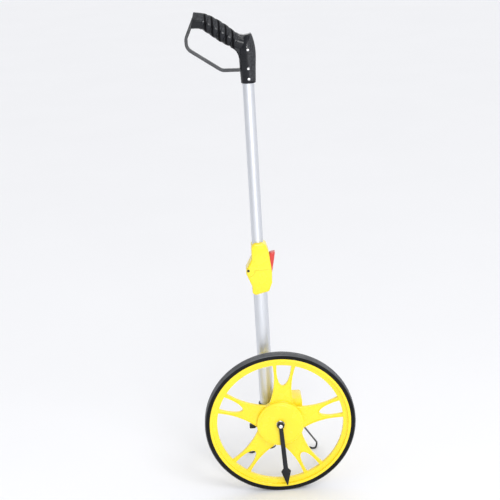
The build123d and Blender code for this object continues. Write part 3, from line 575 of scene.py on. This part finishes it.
def spoke_shape(border):
    """A two-armed spoke, or the field inside its border: waisted sides, and a slot open to the rim."""
    foot, waist, end = 42 * MM + border, 92 * MM, 138 * MM
    root_half, waist_half, tip_half = 26 * MM - border, 18.5 * MM - border, 26 * MM - border
    slot_long, slot_half = 48 * MM + border, 15.5 * MM + border
    if border > 0:
        end = LEDGE_INSIDE - border
    upper = arc_through((foot, root_half), (waist, waist_half), (end, tip_half), SPOKE_STEPS)
    lower = [(out, -across) for out, across in reversed(upper)]
    start = asin(max(LEDGE_INSIDE - end, 0) / slot_long)
    slot_top = []
    for step in range(SPOKE_STEPS):
        angle = start + (pi / 2 - start) * step / (SPOKE_STEPS - 1)
        slot_top.append((LEDGE_INSIDE - slot_long * sin(angle), slot_half * cos(angle)))
    slot_bottom = [(out, -across) for out, across in reversed(slot_top[:-1])]
    if border > 0:
        return upper + slot_top + slot_bottom + lower
    return upper + [(end, slot_half)] + slot_top + slot_bottom + [(end, -slot_half)] + lower


def make_spoke(name):
    """A spoke with its field sunk in from the front and the back, the field's walls drafted."""
    sizes = settings().wheel
    recess = sizes.spoke_recess
    spoke = plate(name, wheel_outline(spoke_shape(0), SPOKE_TURN), -WEB_HALF, WEB_HALF)
    spoke = bevelled(spoke, 0.7 * MM, 3, 40)
    for way in (-1, 1):
        face = way * WEB_HALF
        rings = []
        for step, spread in ((way * recess, -recess), (-way * recess, 0.0)):
            outline = wheel_outline(spoke_shape(sizes.spoke_border + spread), SPOKE_TURN)
            rings.append([Vector((x, AXLE.y + (face + step), z)) for x, z in outline])
        spoke = combined(spoke, lofted("spoke_field", rings), "DIFFERENCE")
    return spoke


def rim_profile():
    """The rim's section: a band under the tyre, and an inner ledge on both sides."""
    half, ledge, rib = RIM_HALF, 4.5 * MM, RIB_HALF
    rib_inside = BAND_OUTSIDE - RIB_HEIGHT
    outline = [
        (BAND_INSIDE, -half), (BAND_OUTSIDE, -half), (BAND_OUTSIDE, -rib), (rib_inside, -rib),
        (rib_inside, rib), (BAND_OUTSIDE, rib), (BAND_OUTSIDE, half), (BAND_INSIDE, half),
        (BAND_INSIDE, ledge), (LEDGE_INSIDE, ledge), (LEDGE_INSIDE, -ledge), (BAND_INSIDE, -ledge),
    ]
    return rounded(outline, settings().wheel.rim_round, 3)


class MW_OT_wheel(bpy.types.Operator):
    """Models the wheel moulding: rim, five two-armed spokes and the hub disc"""
    bl_idname = "measuring_wheel.wheel"
    bl_label = "Wheel Moulding"

    def execute(self, context):
        rim = spun("wheel_rim", rim_profile(), AXLE, steps=180)
        bore, boss, boss_end, disc = 9.1 * MM, 15 * MM, 14 * MM, 50 * MM
        hub = spun("wheel_hub", [
            (bore, -WEB_HALF), (disc - MM, -WEB_HALF), (disc, -WEB_HALF + MM), (disc, WEB_HALF - MM),
            (disc - MM, WEB_HALF), (boss + MM, WEB_HALF), (boss, WEB_HALF + MM), (boss, boss_end),
            (bore, boss_end),
        ], AXLE, steps=128)
        first = make_spoke("wheel_spoke")
        for number in range(SPOKES):
            spoke = duplicate(first, "wheel_spoke_copy")
            turn = Matrix.Rotation(radians(-360 / SPOKES * number), 4, "Y")
            spoke.data.transform(Matrix.Translation(AXLE) @ turn @ Matrix.Translation(-AXLE))
            rim = combined(rim, spoke, "UNION")
        bpy.data.objects.remove(first)
        rim = combined(rim, hub, "UNION")
        rim.name = "wheel_body"
        finish_piece(rim, "wheel", "yellow_plastic", "yellow", "wheel_moulding")
        return {"FINISHED"}


def tyre_profile():
    """The tyre's section: three grooves in the tread, a bead line on each side wall."""
    groove = settings().wheel.tread_groove
    outer, seat, half = AXLE.z, BAND_OUTSIDE, RIM_HALF
    rib = [(seat, RIB_HALF), (seat - RIB_HEIGHT, RIB_HALF),
           (seat - RIB_HEIGHT, -RIB_HALF), (seat, -RIB_HALF)]
    wall = [(seat, -half + 0.3 * MM), (seat + 0.8 * MM, -half), (seat + 3.4 * MM, -half),
            (seat + 3.8 * MM, -half + 0.5 * MM), (seat + 4.6 * MM, -half + 0.5 * MM), (seat + 5 * MM, -half),
            (outer - 2.2 * MM, -half), (outer - 0.7 * MM, -half + 0.6 * MM),
            (outer - 0.1 * MM, -half + 2 * MM)]
    tread = [(outer - depth * groove, place + across * groove) for place in (-4 * MM, 0.0, 4 * MM)
             for across, depth in ((-0.75, 0.0), (-0.4, 1.0), (0.4, 1.0), (0.75, 0.0))]
    return rib + wall + tread + [(radius, -y) for radius, y in reversed(wall)]


class MW_OT_tyre(bpy.types.Operator):
    """Models the tyre, with three grooves round its tread"""
    bl_idname = "measuring_wheel.tyre"
    bl_label = "Tyre"

    def execute(self, context):
        tyre = spun("tyre_tread", tyre_profile(), AXLE, steps=240)
        dress(tyre, "rubber", "tread")
        # Tread faces take the lighter grey that paints the tread's sheen; the side walls keep the black
        # rubber.
        for face in tyre.data.polygons:
            out = Vector((face.center.x - AXLE.x, face.center.z - AXLE.z))
            face.material_index = 1 if out.length > AXLE.z - TREAD_DEPTH else 0
        finish_piece(tyre, "wheel", "tyre_rubber", None, "tyre", smooth_angle=40)
        return {"FINISHED"}


class MW_OT_hub_cover(bpy.types.Operator):
    """Models the round cover over the hub, with a stepped edge"""
    bl_idname = "measuring_wheel.hub_cover"
    bl_label = "Hub Cover"

    def execute(self, context):
        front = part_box("hub_cover")[0].y - AXLE.y
        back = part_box("hub_cover")[1].y - AXLE.y
        hole, outer, wall = 8.5 * MM, 50 * MM, 2.4 * MM
        outline = [
            (hole, front + 0.4 * MM), (12.5 * MM, front + 0.4 * MM), (13.2 * MM, front),
            (outer - 6 * MM, front), (outer - 5.2 * MM, front + 0.7 * MM),
            (outer - 1.6 * MM, front + 0.9 * MM), (outer, front + 2.8 * MM), (outer, back),
            (outer - wall, back), (outer - wall, front + wall), (hole, front + wall),
        ]
        cap = spun("hub_cap", rounded(outline, 0.9 * MM, 3), AXLE, steps=160)
        finish_piece(cap, "wheel", "yellow_plastic", "yellow", "hub_cover")
        return {"FINISHED"}


class MW_OT_pointer(bpy.types.Operator):
    """Models the plumb pointer: a tapered arm, a barbed tip and a boss"""
    bl_idname = "measuring_wheel.pointer"
    bl_label = "Pointer"

    def execute(self, context):
        lean = radians(3.3)
        low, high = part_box("pointer")
        arm, barb = 5 * MM, 10.5 * MM
        tip = (AXLE.z - low.z) / cos(lean)
        outline = [(-arm + 0.6 * MM, 0), (-arm, -(tip - 43 * MM)), (-barb, -(tip - 36 * MM)), (0, -tip),
                   (barb, -(tip - 36 * MM)), (arm, -(tip - 43 * MM)), (arm - 0.6 * MM, 0)]
        turned_outline = [(AXLE.x + x * cos(lean) - z * sin(lean), AXLE.z + x * sin(lean) + z * cos(lean))
                          for x, z in rounded(outline, 0.8 * MM, 2)]
        back = high.y
        blade = plate("pointer_blade", turned_outline, back - 3.6 * MM, back)
        blade = bevelled(blade, 1.1 * MM, 3)
        boss_outline = [
            (2.7 * MM, back), (7.5 * MM, back), (7.5 * MM, low.y + 1.2 * MM), (6.3 * MM, low.y),
            (4.9 * MM, low.y), (4.6 * MM, low.y + 0.5 * MM), (2.7 * MM, low.y + 0.5 * MM),
        ]
        line = Vector((AXLE.x, 0, AXLE.z))
        boss = spun("pointer_boss", rounded(boss_outline, 0.5 * MM, 2), line, steps=64)
        bore = spun("pointer_bore", [(0, back + MM), (2.65 * MM, back + MM), (2.65 * MM, low.y - MM),
                                     (0, low.y - MM)], line, steps=64, closed=False)
        blade = combined(blade, boss, "UNION")
        blade = combined(blade, bore, "DIFFERENCE")
        finish_piece(blade, "pointer", "black_plastic", "black", "pointer")
        return {"FINISHED"}


# ---------------------------------------------------------------- handle

# Millimetres from the tube's line and over its top, a lean in degrees, then two half widths.
GRIP_STATIONS = [
    (-99.3, 54.5, -12, 15.8, 13.0), (-79.6, 51.5, -23, 15.3, 14.5), (-62, 41, -26, 16.4, 14.5),
    (-42, 26.5, -28, 16.8, 14.5), (-21, 12.5, -22, 14.6, 13.5), (3, 4, -15, 13.4, 12.0),
]
NECK_STATIONS = [
    (0.4, -70.4, 0, 14.3, 14.3), (0.6, -42, 0, 15.6, 15.2), (1.3, -17, 0, 16.4, 15.6),
    (1.2, 2, 0, 15.4, 15.0), (2.2, 20.6, 14, 9.6, 11.0),
]
GUSSET = [(-31, 6), (-30.5, 0.2), (-25, -3), (-20, -8), (-16.5, -15.5), (-14.6, -25), (-6, -25), (-2, 2)]
SADDLE = [(-20, 26.5), (-11, 23.2), (-4, 22), (4.5, 23), (11, 25.4), (9, 4), (-20, 4)]
SCREW_SPOTS = [(2.2, -5.5), (1.4, -41.5), (1.4, -61.5)]
GUARD_ROUTE = [(-97, 59), (-114.5, 21), (-114.5, 2), (-49.5, -43.6), (-12.5, -44.8)]
SCREW_HEAD = 1.6 * MM
PIVOT_HEAD = 2.6 * MM
CLAMP_HEAD = 2.4 * MM
FIRST_GROOVE = -25.0
GROOVES = 5
ELLIPSE_POINTS = 56
NECK_EDGE, NECK_LEAN, NECK_LEAN_FROM, NECK_FOOT = 1.5, 0.42, 4, -66
GRIP_END, STIPPLE_RISE = -14, 3.2
FLAT = 0.9999


def handle_point(x, rise, y=TUBE.y):
    """A place given in millimetres from the tube's line and over its top."""
    return Vector((TUBE.x + x * MM, y, TUBE_TOP + rise * MM))


def between(stations, share):
    """A smooth value for each column between stations, share running from 0 to 1."""
    place = share * (len(stations) - 1)
    number = min(int(place), len(stations) - 2)
    t = place - number
    before = stations[max(number - 1, 0)]
    start, end = stations[number], stations[number + 1]
    after = stations[min(number + 2, len(stations) - 1)]
    return [0.5 * (2 * b + (c - a) * t + (2 * a - 5 * b + 4 * c - d) * t * t
                   + (3 * b - a - 3 * c + d) * t ** 3)
            for a, b, c, d in zip(before, start, end, after)]


def groove_inset(x):
    """How far the grip draws in at a distance along X: in its grooves, less between them."""
    sizes = settings().handle
    along = (FIRST_GROOVE * MM - x) / sizes.groove_pitch
    nearest_groove = min(max(round(along), 0), GROOVES - 1)
    gap = abs(along - nearest_groove) * sizes.groove_pitch
    reach = sizes.groove_width / 2
    if gap < reach:
        return sizes.groove_depth * (1 - (gap / reach) ** 2) ** 0.4
    if -0.5 < along < GROOVES - 0.5:
        return -sizes.ring_bulge * sin(pi * (gap - reach) / (sizes.groove_pitch - 2 * reach))
    return 0.0


def grip_rings(steps):
    """Ellipses along the grip, drawn in at the grooves between the rings."""
    rings = []
    for step in range(steps + 1):
        x, rise, slope, half_height, half_width = between(GRIP_STATIONS, step / steps)
        inset = groove_inset(x * MM)
        centre = handle_point(x, rise)
        up = Vector((-sin(radians(slope)), 0, cos(radians(slope))))
        ring = []
        for number in range(ELLIPSE_POINTS):
            angle = 2 * pi * number / ELLIPSE_POINTS
            cut = inset * (0.2 + 0.8 * abs(cos(angle)))
            height = (half_height * MM - cut) * sin(angle)
            width = (half_width * MM - cut) * cos(angle)
            ring.append(centre + up * height + Vector((0, width, 0)))
        rings.append(ring)
    return rings


def end_cap(ring, depth, steps=5):
    """Smaller rings that round off an end, depth beyond its ring."""
    centre = sum(ring, Vector()) / len(ring)
    normal = (ring[0] - centre).cross(ring[len(ring) // 4] - centre).normalized()
    caps = []
    for step in range(1, steps + 1):
        angle = pi / 2 * step / (steps + 0.6)
        scale = 1 - (1 - cos(angle)) * 0.28
        caps.append([centre + (point - centre) * scale + normal * depth * sin(angle) for point in ring])
    return caps


def neck_rings(steps):
    """Ellipses up the neck, the last ones tilted towards the grip."""
    rings = []
    for step in range(steps + 1):
        x, rise, tilt, half_x, half_y = between(NECK_STATIONS, step / steps)
        centre = handle_point(x, rise)
        across = Vector((cos(radians(tilt)), 0, sin(radians(tilt))))
        ring = []
        for number in range(ELLIPSE_POINTS):
            angle = 2 * pi * number / ELLIPSE_POINTS
            sideways = Vector((0, half_y * MM * sin(angle), 0))
            ring.append(centre + across * half_x * MM * cos(angle) + sideways)
        rings.append(ring)
    return rings


def grip_line(x):
    """Height of the grip's middle over the tube's top, at a distance from the tube's line in millimetres."""
    stations = GRIP_STATIONS
    if x <= stations[0][0]:
        return stations[0][1]
    for left, right in zip(stations, stations[1:]):
        if x <= right[0]:
            return left[1] + (right[1] - left[1]) * (x - left[0]) / (right[0] - left[0])
    return stations[-1][1]


def handle_zone(face):
    """The finish that a face of the handle takes: 0 smooth, 1 stippled, 2 in a groove, where a darker black
    paints the shade.
    """
    x = (face.center.x - TUBE.x) / MM
    rise = (face.center.z - TUBE_TOP) / MM
    if abs(face.normal.y) > FLAT:
        return 0
    on_neck = x > NECK_EDGE + max(rise - NECK_LEAN_FROM, 0) * NECK_LEAN and rise > NECK_FOOT
    if x < GRIP_END and groove_inset(x * MM) > 0:
        return 2
    return 1 if on_neck or (x < GRIP_END and rise > grip_line(x) + STIPPLE_RISE) else 0


def handle_plate(name, outline, corner, half, edge, angle):
    """A rounded plate that fills a corner of the handle, centred on the tube, in millimetres."""
    places = [(TUBE.x + x * MM, TUBE_TOP + rise * MM) for x, rise in outline]
    body = plate(name, rounded(places, corner * MM), TUBE.y - half * MM, TUBE.y + half * MM)
    return bevelled(body, edge * MM, 5, angle)


class MW_OT_handle(bpy.types.Operator):
    """Models the pistol grip: ringed grip, neck and stippled fields, split in two shells"""
    bl_idname = "measuring_wheel.handle"
    bl_label = "Handle"

    def execute(self, context):
        sizes = settings().handle
        rings = grip_rings(170)
        cap = end_cap(list(reversed(rings[0])), 1.2 * MM)
        cap = [list(reversed(ring)) for ring in cap]
        grip = lofted("grip", list(reversed(cap)) + rings)
        neck = lofted("neck", neck_rings(24))
        body = combined(neck, grip, "UNION")
        gusset = handle_plate("gusset", GUSSET, corner=4, half=7.5, edge=5, angle=50)
        body = combined(body, gusset, "UNION")
        saddle = handle_plate("saddle", SADDLE, corner=3, half=9, edge=4, angle=60)
        body = combined(body, saddle, "UNION")
        body.name = "handle"
        body.data.remesh_voxel_size = sizes.voxel
        activate(body)
        bpy.ops.object.voxel_remesh()
        apply(body, "SMOOTH", factor=0.5, iterations=3)
        body = self.sink_screws(body)
        for name, keep_front in (("handle_front", True), ("handle_rear", False)):
            half = duplicate(body, name)
            edit(half)
            gap = -0.12 * MM if keep_front else 0.12 * MM
            bpy.ops.mesh.bisect(plane_co=(TUBE.x, TUBE.y + gap, TUBE.z), plane_no=(0, 1, 0), use_fill=True,
                                clear_outer=keep_front, clear_inner=not keep_front)
            bpy.ops.object.mode_set(mode="OBJECT")
            # The third finish paints the shade inside the grooves.
            dress(half, "gloss_black", "stipple", "groove")
            for face in half.data.polygons:
                face.material_index = handle_zone(face)
            node = "handle_front_shell" if keep_front else "handle_rear_shell"
            finish_piece(half, "mast", "black_plastic", None, node, smooth_angle=60)
        bpy.data.objects.remove(body)
        return {"FINISHED"}

    def sink_screws(self, body):
        """Cuts a round well down to each screw's seat."""
        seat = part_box("handle_screws")[0].y + SCREW_HEAD
        for x, rise in SCREW_SPOTS:
            well = spun("screw_well", [(0, -12 * MM), (3.9 * MM, -12 * MM), (3.3 * MM, 0), (0, 0)],
                        handle_point(x, rise, seat), steps=48, closed=False)
            body = combined(body, well, "DIFFERENCE")
        return body


def rounded_route(points, radius, steps=8):
    """A route in X and Z whose corners are arcs that meet the runs."""
    route = [Vector(points[0])]
    for before, corner, after in zip(points, points[1:], points[2:]):
        corner = Vector(corner)
        one = (Vector(before) - corner).normalized()
        two = (Vector(after) - corner).normalized()
        half = one.angle(two) / 2
        cut = radius / (sin(half) / cos(half))
        centre = corner + (one + two).normalized() * radius / sin(half)
        start = corner + one * cut - centre
        end = corner + two * cut - centre
        turn = start.angle_signed(end)
        for step in range(steps + 1):
            angle = -turn * step / steps
            route.append(centre + Vector((start.x * cos(angle) - start.y * sin(angle),
                                          start.x * sin(angle) + start.y * cos(angle))))
    route.append(Vector(points[-1]))
    return route


class MW_OT_guard(bpy.types.Operator):
    """Models the knuckle guard: a flat bar with a channel along both faces"""
    bl_idname = "measuring_wheel.guard"
    bl_label = "Knuckle Guard"

    def execute(self, context):
        channel = settings().handle.guard_channel
        thick, wide = 3 * MM, 6 * MM
        section = [
            (-thick, -wide + 1.6 * MM), (-thick * 0.86, -wide + 0.7 * MM), (-thick * 0.5, -wide),
            (-thick * 0.36, -wide), (-thick * 0.28, -wide + channel), (thick * 0.28, -wide + channel),
            (thick * 0.36, -wide), (thick * 0.5, -wide), (thick * 0.86, -wide + 0.7 * MM),
            (thick, -wide + 1.6 * MM),
        ]
        section += [(out, -across) for out, across in reversed(section)]
        route = rounded_route([(x * MM, z * MM) for x, z in GUARD_ROUTE], 19 * MM)
        rings = []
        for number, point in enumerate(route):
            before = route[max(number - 1, 0)]
            after = route[min(number + 1, len(route) - 1)]
            way = (after - before).normalized()
            out = Vector((-way.y, 0, way.x))
            centre = Vector((TUBE.x + point.x, TUBE.y, TUBE_TOP + point.y))
            rings.append([centre + out * side + Vector((0, across, 0)) for side, across in section])
        guard = lofted("guard_bar", rings)
        finish_piece(guard, "mast", "black_plastic", "guard_painted_sheen", "knuckle_guard", smooth_angle=40)
        return {"FINISHED"}


# ---------------------------------------------------------------- screws

def screw(name, at, radius, height, length_in, shank, way=-1, slot_width=0.9 * MM):
    """A domed head with a cross recess, its seat at a point; way is -1 for a head that faces the front."""
    dome = [(radius * sin(pi / 2 * step / 8), way * height * (0.25 + 0.75 * cos(pi / 2 * step / 8)))
            for step in range(9)]
    profile = dome + [(radius, 0), (shank, 0), (shank, -way * length_in), (0, -way * length_in)]
    head = spun(name, profile, Vector(at), steps=48, closed=False)
    for turn in (0, pi / 2):
        deselect()
        bpy.ops.mesh.primitive_cube_add(size=1)
        cutter = bpy.context.object
        cutter.data.transform(Matrix.Diagonal((radius * 1.25, height * 1.1, slot_width, 1)))
        cutter.data.transform(Matrix.Rotation(turn + 0.35, 4, "Y"))
        cutter.data.transform(Matrix.Translation(Vector(at) + Vector((0, way * height, 0))))
        head = combined(head, cutter, "DIFFERENCE")
    return head


def joined(name, pieces):
    """One object from several, each a separate shell."""
    deselect()
    for piece in pieces:
        piece.select_set(True)
    bpy.context.view_layer.objects.active = pieces[0]
    bpy.ops.object.join()
    pieces[0].name = name
    return pieces[0]


class MW_OT_screws(bpy.types.Operator):
    """Models the screws that show: on the handle, the pointer and the clamp"""
    bl_idname = "measuring_wheel.screws"
    bl_label = "Screws"

    def execute(self, context):
        low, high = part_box("handle_screws")
        seat = low.y + SCREW_HEAD
        heads = [screw("handle_screw", handle_point(x, rise, seat), 3 * MM, SCREW_HEAD, high.y - seat,
                       1.6 * MM) for x, rise in SCREW_SPOTS]
        heads = joined("handle_screw_set", heads)
        finish_piece(heads, "mast", "zinc_steel", "steel", "handle_screws")
        low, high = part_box("pointer_screw")
        pivot = screw("pointer_pivot", (AXLE.x, low.y + PIVOT_HEAD, AXLE.z), 4.5 * MM, PIVOT_HEAD,
                      high.y - low.y - PIVOT_HEAD, 2.5 * MM, slot_width=1.2 * MM)
        finish_piece(pivot, "root", "zinc_steel", "steel", "pointer_screw")
        low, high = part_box("clamp_screws")
        places = (low.z + 4 * MM, high.z - 4 * MM)
        heads = [screw("clamp_screw", (TUBE.x, high.y - CLAMP_HEAD, z), 4 * MM, CLAMP_HEAD,
                       high.y - low.y - CLAMP_HEAD, 2 * MM, way=1) for z in places]
        heads = joined("clamp_screw_set", heads)
        finish_piece(heads, "root", "zinc_steel", "steel", "clamp_screws")
        return {"FINISHED"}


# ---------------------------------------------------------------- folding joint

def joint_outline(inset):
    """The joint's egg-shaped side view, drawn in by a little."""
    side = 16.5
    outline = [
        (-side + 9, 57), (side - 8, 57.5), (side, 52), (side + 5, 37), (side + 8, 8), (side + 9.5, -8),
        (side + 8.5, -31), (side + 1.5, -48), (-side + 5.5, -55), (-side, -50), (-side, -36),
        (-side - 10.5, -8), (-side - 10.5, 1), (-side + 2, 24), (-side + 3, 51),
    ]
    middle = Vector((TUBE.x - 1 * MM, FOLD.z))
    corners = [(TUBE.x + x * MM, FOLD.z + z * MM) for x, z in outline]
    points = [Vector(point) for point in rounded(corners, 5 * MM, 4)]
    return [point + (middle - point).normalized() * inset for point in points]


def rounded_egg(name):
    """A body of the joint's outline, its front and back edges well rounded."""
    half = 17.4 * MM
    sections = [(half, 3.8), (half - 0.4 * MM, 2.3), (half - 1.3 * MM, 1.1), (half - 2.8 * MM, 0.4),
                (half - 5 * MM, 0.05)]
    sections = [(-depth, inset) for depth, inset in sections] + sections[::-1]
    rings = [[Vector((x, TUBE.y + depth, z)) for x, z in joint_outline(inset * MM)]
             for depth, inset in sections]
    return lofted(name, rings)


class MW_OT_joint(bpy.types.Operator):
    """Models the folding joint's two halves, their front and back edges rounded"""
    bl_idname = "measuring_wheel.joint"
    bl_label = "Folding Joint"

    def execute(self, context):
        for node, name, body in (("joint_lower_half", "joint_base", "root"),
                                 ("joint_upper_half", "joint_cap", "mast")):
            half = combined(copy_of(node, name), rounded_egg("egg"), "INTERSECT")
            clean(half)
            finish_piece(half, body, "yellow_plastic", "yellow", node, smooth_angle=28)
        return {"FINISHED"}


class MW_OT_latch(bpy.types.Operator):
    """Models the latch lever, its edges rounded"""
    bl_idname = "measuring_wheel.latch"
    bl_label = "Latch Lever"

    def execute(self, context):
        lever = bevelled(copy_of("latch_lever", "latch_thumb"), 0.7 * MM, 2)
        finish_piece(lever, "latch", "red_plastic", "red", "latch_lever")
        return {"FINISHED"}


# ---------------------------------------------------------------- counter and bracket

def eased(node, name, body, slot, look):
    """A working part with its sharp edges rounded."""
    piece = bevelled(copy_of(node, name), settings().wheel.edge_round, 2, 38)
    finish_piece(piece, body, slot, look, node)


class MW_OT_counter(bpy.types.Operator):
    """Rounds the counter's housing and cover, and puts digits on its drums"""
    bl_idname = "measuring_wheel.counter"
    bl_label = "Counter"

    def execute(self, context):
        eased("counter_housing", "counter_case", "root", "yellow_plastic", "yellow")
        eased("housing_cover", "counter_back_cover", "root", "yellow_plastic", "yellow")
        for drum in DRUMS:
            self.add_digits(drum)
        return {"FINISHED"}

    def add_digits(self, drum):
        low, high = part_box(f"{drum}_drum")
        radius = high.x - DRUM_LINE.x
        middle = (low.y + high.y) / 2 if drum != "tenths" else high.y - 2.5 * MM
        digits = []
        for number in range(10):
            deselect()
            bpy.ops.object.text_add()
            digit = bpy.context.object
            digit.data.body = str(number)
            digit.data.size = 5.4 * MM
            digit.data.extrude = 0.04 * MM
            digit.data.resolution_u = 3
            digit.data.align_x = "CENTER"
            digit.data.align_y = "CENTER"
            bpy.ops.object.convert(target="MESH")
            upright = Matrix.Rotation(pi / 2, 4, "Z")
            around = Matrix.Rotation(2 * pi * number / 10, 4, "Y")
            out = Matrix.Translation((0, 0, radius + 0.02 * MM))
            place = Matrix.Translation((DRUM_LINE.x, middle, DRUM_LINE.z))
            digit.data.transform(place @ around @ out @ upright)
            digits.append(digit)
        band = joined(f"{drum}_digits", digits)
        finish_piece(band, f"{drum}_wheel", "drum_plastic", "digits")


class MW_OT_bracket(bpy.types.Operator):
    """Rounds the bracket, the reset lever, the end plug and the axle nut"""
    bl_idname = "measuring_wheel.bracket"
    bl_label = "Bracket"

    def execute(self, context):
        eased("hub_bracket", "bracket_casting", "root", "black_plastic", "black")
        eased("reset_lever", "reset_thumb", "reset", "black_plastic", "black")
        eased("tube_end_plug", "end_plug_cap", "root", "black_plastic", "black")
        eased("axle_nut", "axle_lock_nut", "root", "zinc_steel", "steel")
        return {"FINISHED"}


class MW_OT_working_parts(bpy.types.Operator):
    """Gives the working parts that stay as they are their finishes"""
    bl_idname = "measuring_wheel.working_parts"
    bl_label = "Working Parts"

    def execute(self, context):
        cover(["upper_tube", "lower_tube"], "tube")
        cover(["axle", "axle_washer", "cover_screws", "spacer", "drum_shaft", "pinion_shaft", "reset_pin",
               "latch_pin", "lower_joint_pins", "upper_joint_pins", "retaining_clip", "reset_spring",
               "latch_spring"], "steel")
        cover(["fold_pin", "stand_wire"], "black_steel")
        cover(["front_bush", "rear_bush", "drive_gear", "input_gear", "transfer_pinions"], "nylon")
        cover([f"{drum}_drum" for drum in DRUMS], "drum")
        cover(["window"], "window")
        return {"FINISHED"}


# ---------------------------------------------------------------- stage

CAMERA_PLACE = (-0.075, -2.0809, 1.2561)
CAMERA_LENS = 79.2
CAMERA_TURN, CAMERA_DIP, CAMERA_ROLL = radians(-0.913), radians(-18.82), radians(-3.465)
LIGHT_FROM = (0.5, 0.8, 0.33)
DIMMEST, BRIGHTEST = 0.10, 1.07


def area_light(name, place, target, size, power):
    deselect()
    bpy.ops.object.light_add(type="AREA", location=place)
    lamp = bpy.context.object
    lamp.name = name
    lamp.data.shape = "RECTANGLE"
    lamp.data.size, lamp.data.size_y = size
    lamp.data.energy = power
    lamp.rotation_euler = (Vector(target) - Vector(place)).to_track_quat("-Z", "Y").to_euler()


def sun_light(name, turn, strength, spread):
    deselect()
    bpy.ops.object.light_add(type="SUN", location=(0, 0, 3))
    lamp = bpy.context.object
    lamp.name = name
    lamp.data.energy = strength
    lamp.data.angle = radians(spread)
    lamp.rotation_euler = [radians(angle) for angle in turn]


class MW_OT_stage(bpy.types.Operator):
    """Makes the pale floor, the soft light and the camera"""
    bl_idname = "measuring_wheel.stage"
    bl_label = "Studio Stage"

    def execute(self, context):
        deselect()
        bpy.ops.mesh.primitive_plane_add(size=80, location=(0, 0, 0))
        floor = context.object
        floor.name = "studio_floor"
        paper = Finish("studio_paper", settings().colours.floor, 0.9)
        paper.vary_colour(paper.noise(2.0, 2), 0.995, 1.005)
        floor.data.materials.append(paper.material)
        self.make_world(context.scene)
        sun_light("window_sun", turn=(42, 0, 34), strength=0.72, spread=24)
        sun_light("fill_sun", turn=(55, 0, -35), strength=0.33, spread=70)
        sun_light("back_sun", turn=(50, 0, 170), strength=0.33, spread=70)
        area_light("soft_box", (0.3, -2.6, 1.12), target=(-0.09, 0, 0.98), size=(1.1, 0.45), power=34)
        self.make_camera(context.scene)
        return {"FINISHED"}

    def make_world(self, scene):
        """A soft dome of light, brightest from behind and from the right."""
        world = bpy.data.worlds.new("studio_light")
        world.use_nodes = True
        scene.world = world
        tree = world.node_tree
        backdrop = tree.nodes["Background"]
        place = tree.nodes.new("ShaderNodeTexCoord")
        towards = tree.nodes.new("ShaderNodeVectorMath")
        towards.operation = "DOT_PRODUCT"
        towards.inputs[1].default_value = LIGHT_FROM
        tree.links.new(place.outputs["Generated"], towards.inputs[0])
        strength = map_range(tree, towards.outputs["Value"], (-1.0, 1.0, DIMMEST, BRIGHTEST))
        tree.links.new(strength, backdrop.inputs["Strength"])
        backdrop.inputs["Color"].default_value = (0.97, 0.98, 1.0, 1)
        scene.view_settings.view_transform = "Standard"

    def make_camera(self, scene):
        data = bpy.data.cameras.new("camera")
        data.lens = CAMERA_LENS
        camera = bpy.data.objects.new("camera", data)
        scene.collection.objects.link(camera)
        aim = Matrix.Rotation(CAMERA_TURN, 3, "Z") @ Matrix.Rotation(CAMERA_DIP, 3, "X")
        right, forward, up = (aim @ Vector(axis) for axis in ((1, 0, 0), (0, 1, 0), (0, 0, 1)))
        tilted_right = right * cos(CAMERA_ROLL) + up * sin(CAMERA_ROLL)
        tilted_up = up * cos(CAMERA_ROLL) - right * sin(CAMERA_ROLL)
        basis = Matrix((tilted_right, tilted_up, -forward)).transposed()
        camera.matrix_world = Matrix.Translation(CAMERA_PLACE) @ basis.to_4x4()
        scene.camera = camera


# ---------------------------------------------------------------- add-on

OPERATORS = (
    MW_OT_stage, MW_OT_wheel, MW_OT_tyre, MW_OT_hub_cover, MW_OT_pointer, MW_OT_handle, MW_OT_guard,
    MW_OT_screws, MW_OT_joint, MW_OT_latch, MW_OT_counter, MW_OT_bracket, MW_OT_working_parts,
)


class MW_PT_panel(bpy.types.Panel):
    """Sizes, colours and buttons of the measuring wheel"""
    bl_idname = "MW_PT_panel"
    bl_label = "Measuring Wheel"
    bl_space_type = "VIEW_3D"
    bl_region_type = "UI"
    bl_category = "Measuring Wheel"

    def draw(self, context):
        chosen = context.scene.measuring_wheel
        for group in (chosen.wheel, chosen.handle, chosen.colours):
            box = self.layout.box()
            for name in group.__annotations__:
                box.prop(group, name)
        for operator in OPERATORS:
            self.layout.operator(operator.bl_idname)


CLASSES = (WheelSizes, HandleSizes, Colours, MeasuringWheelSettings, *OPERATORS, MW_PT_panel)


def register():
    for cls in CLASSES:
        bpy.utils.register_class(cls)
    bpy.types.Scene.measuring_wheel = bpy.props.PointerProperty(type=MeasuringWheelSettings)


def unregister():
    del bpy.types.Scene.measuring_wheel
    for cls in reversed(CLASSES):
        bpy.utils.unregister_class(cls)


def main():
    register()
    for operator in OPERATORS:
        group, name = operator.bl_idname.split(".")
        getattr(getattr(bpy.ops, group), name)()
    deselect()


if __name__ == "__main__":
    main()
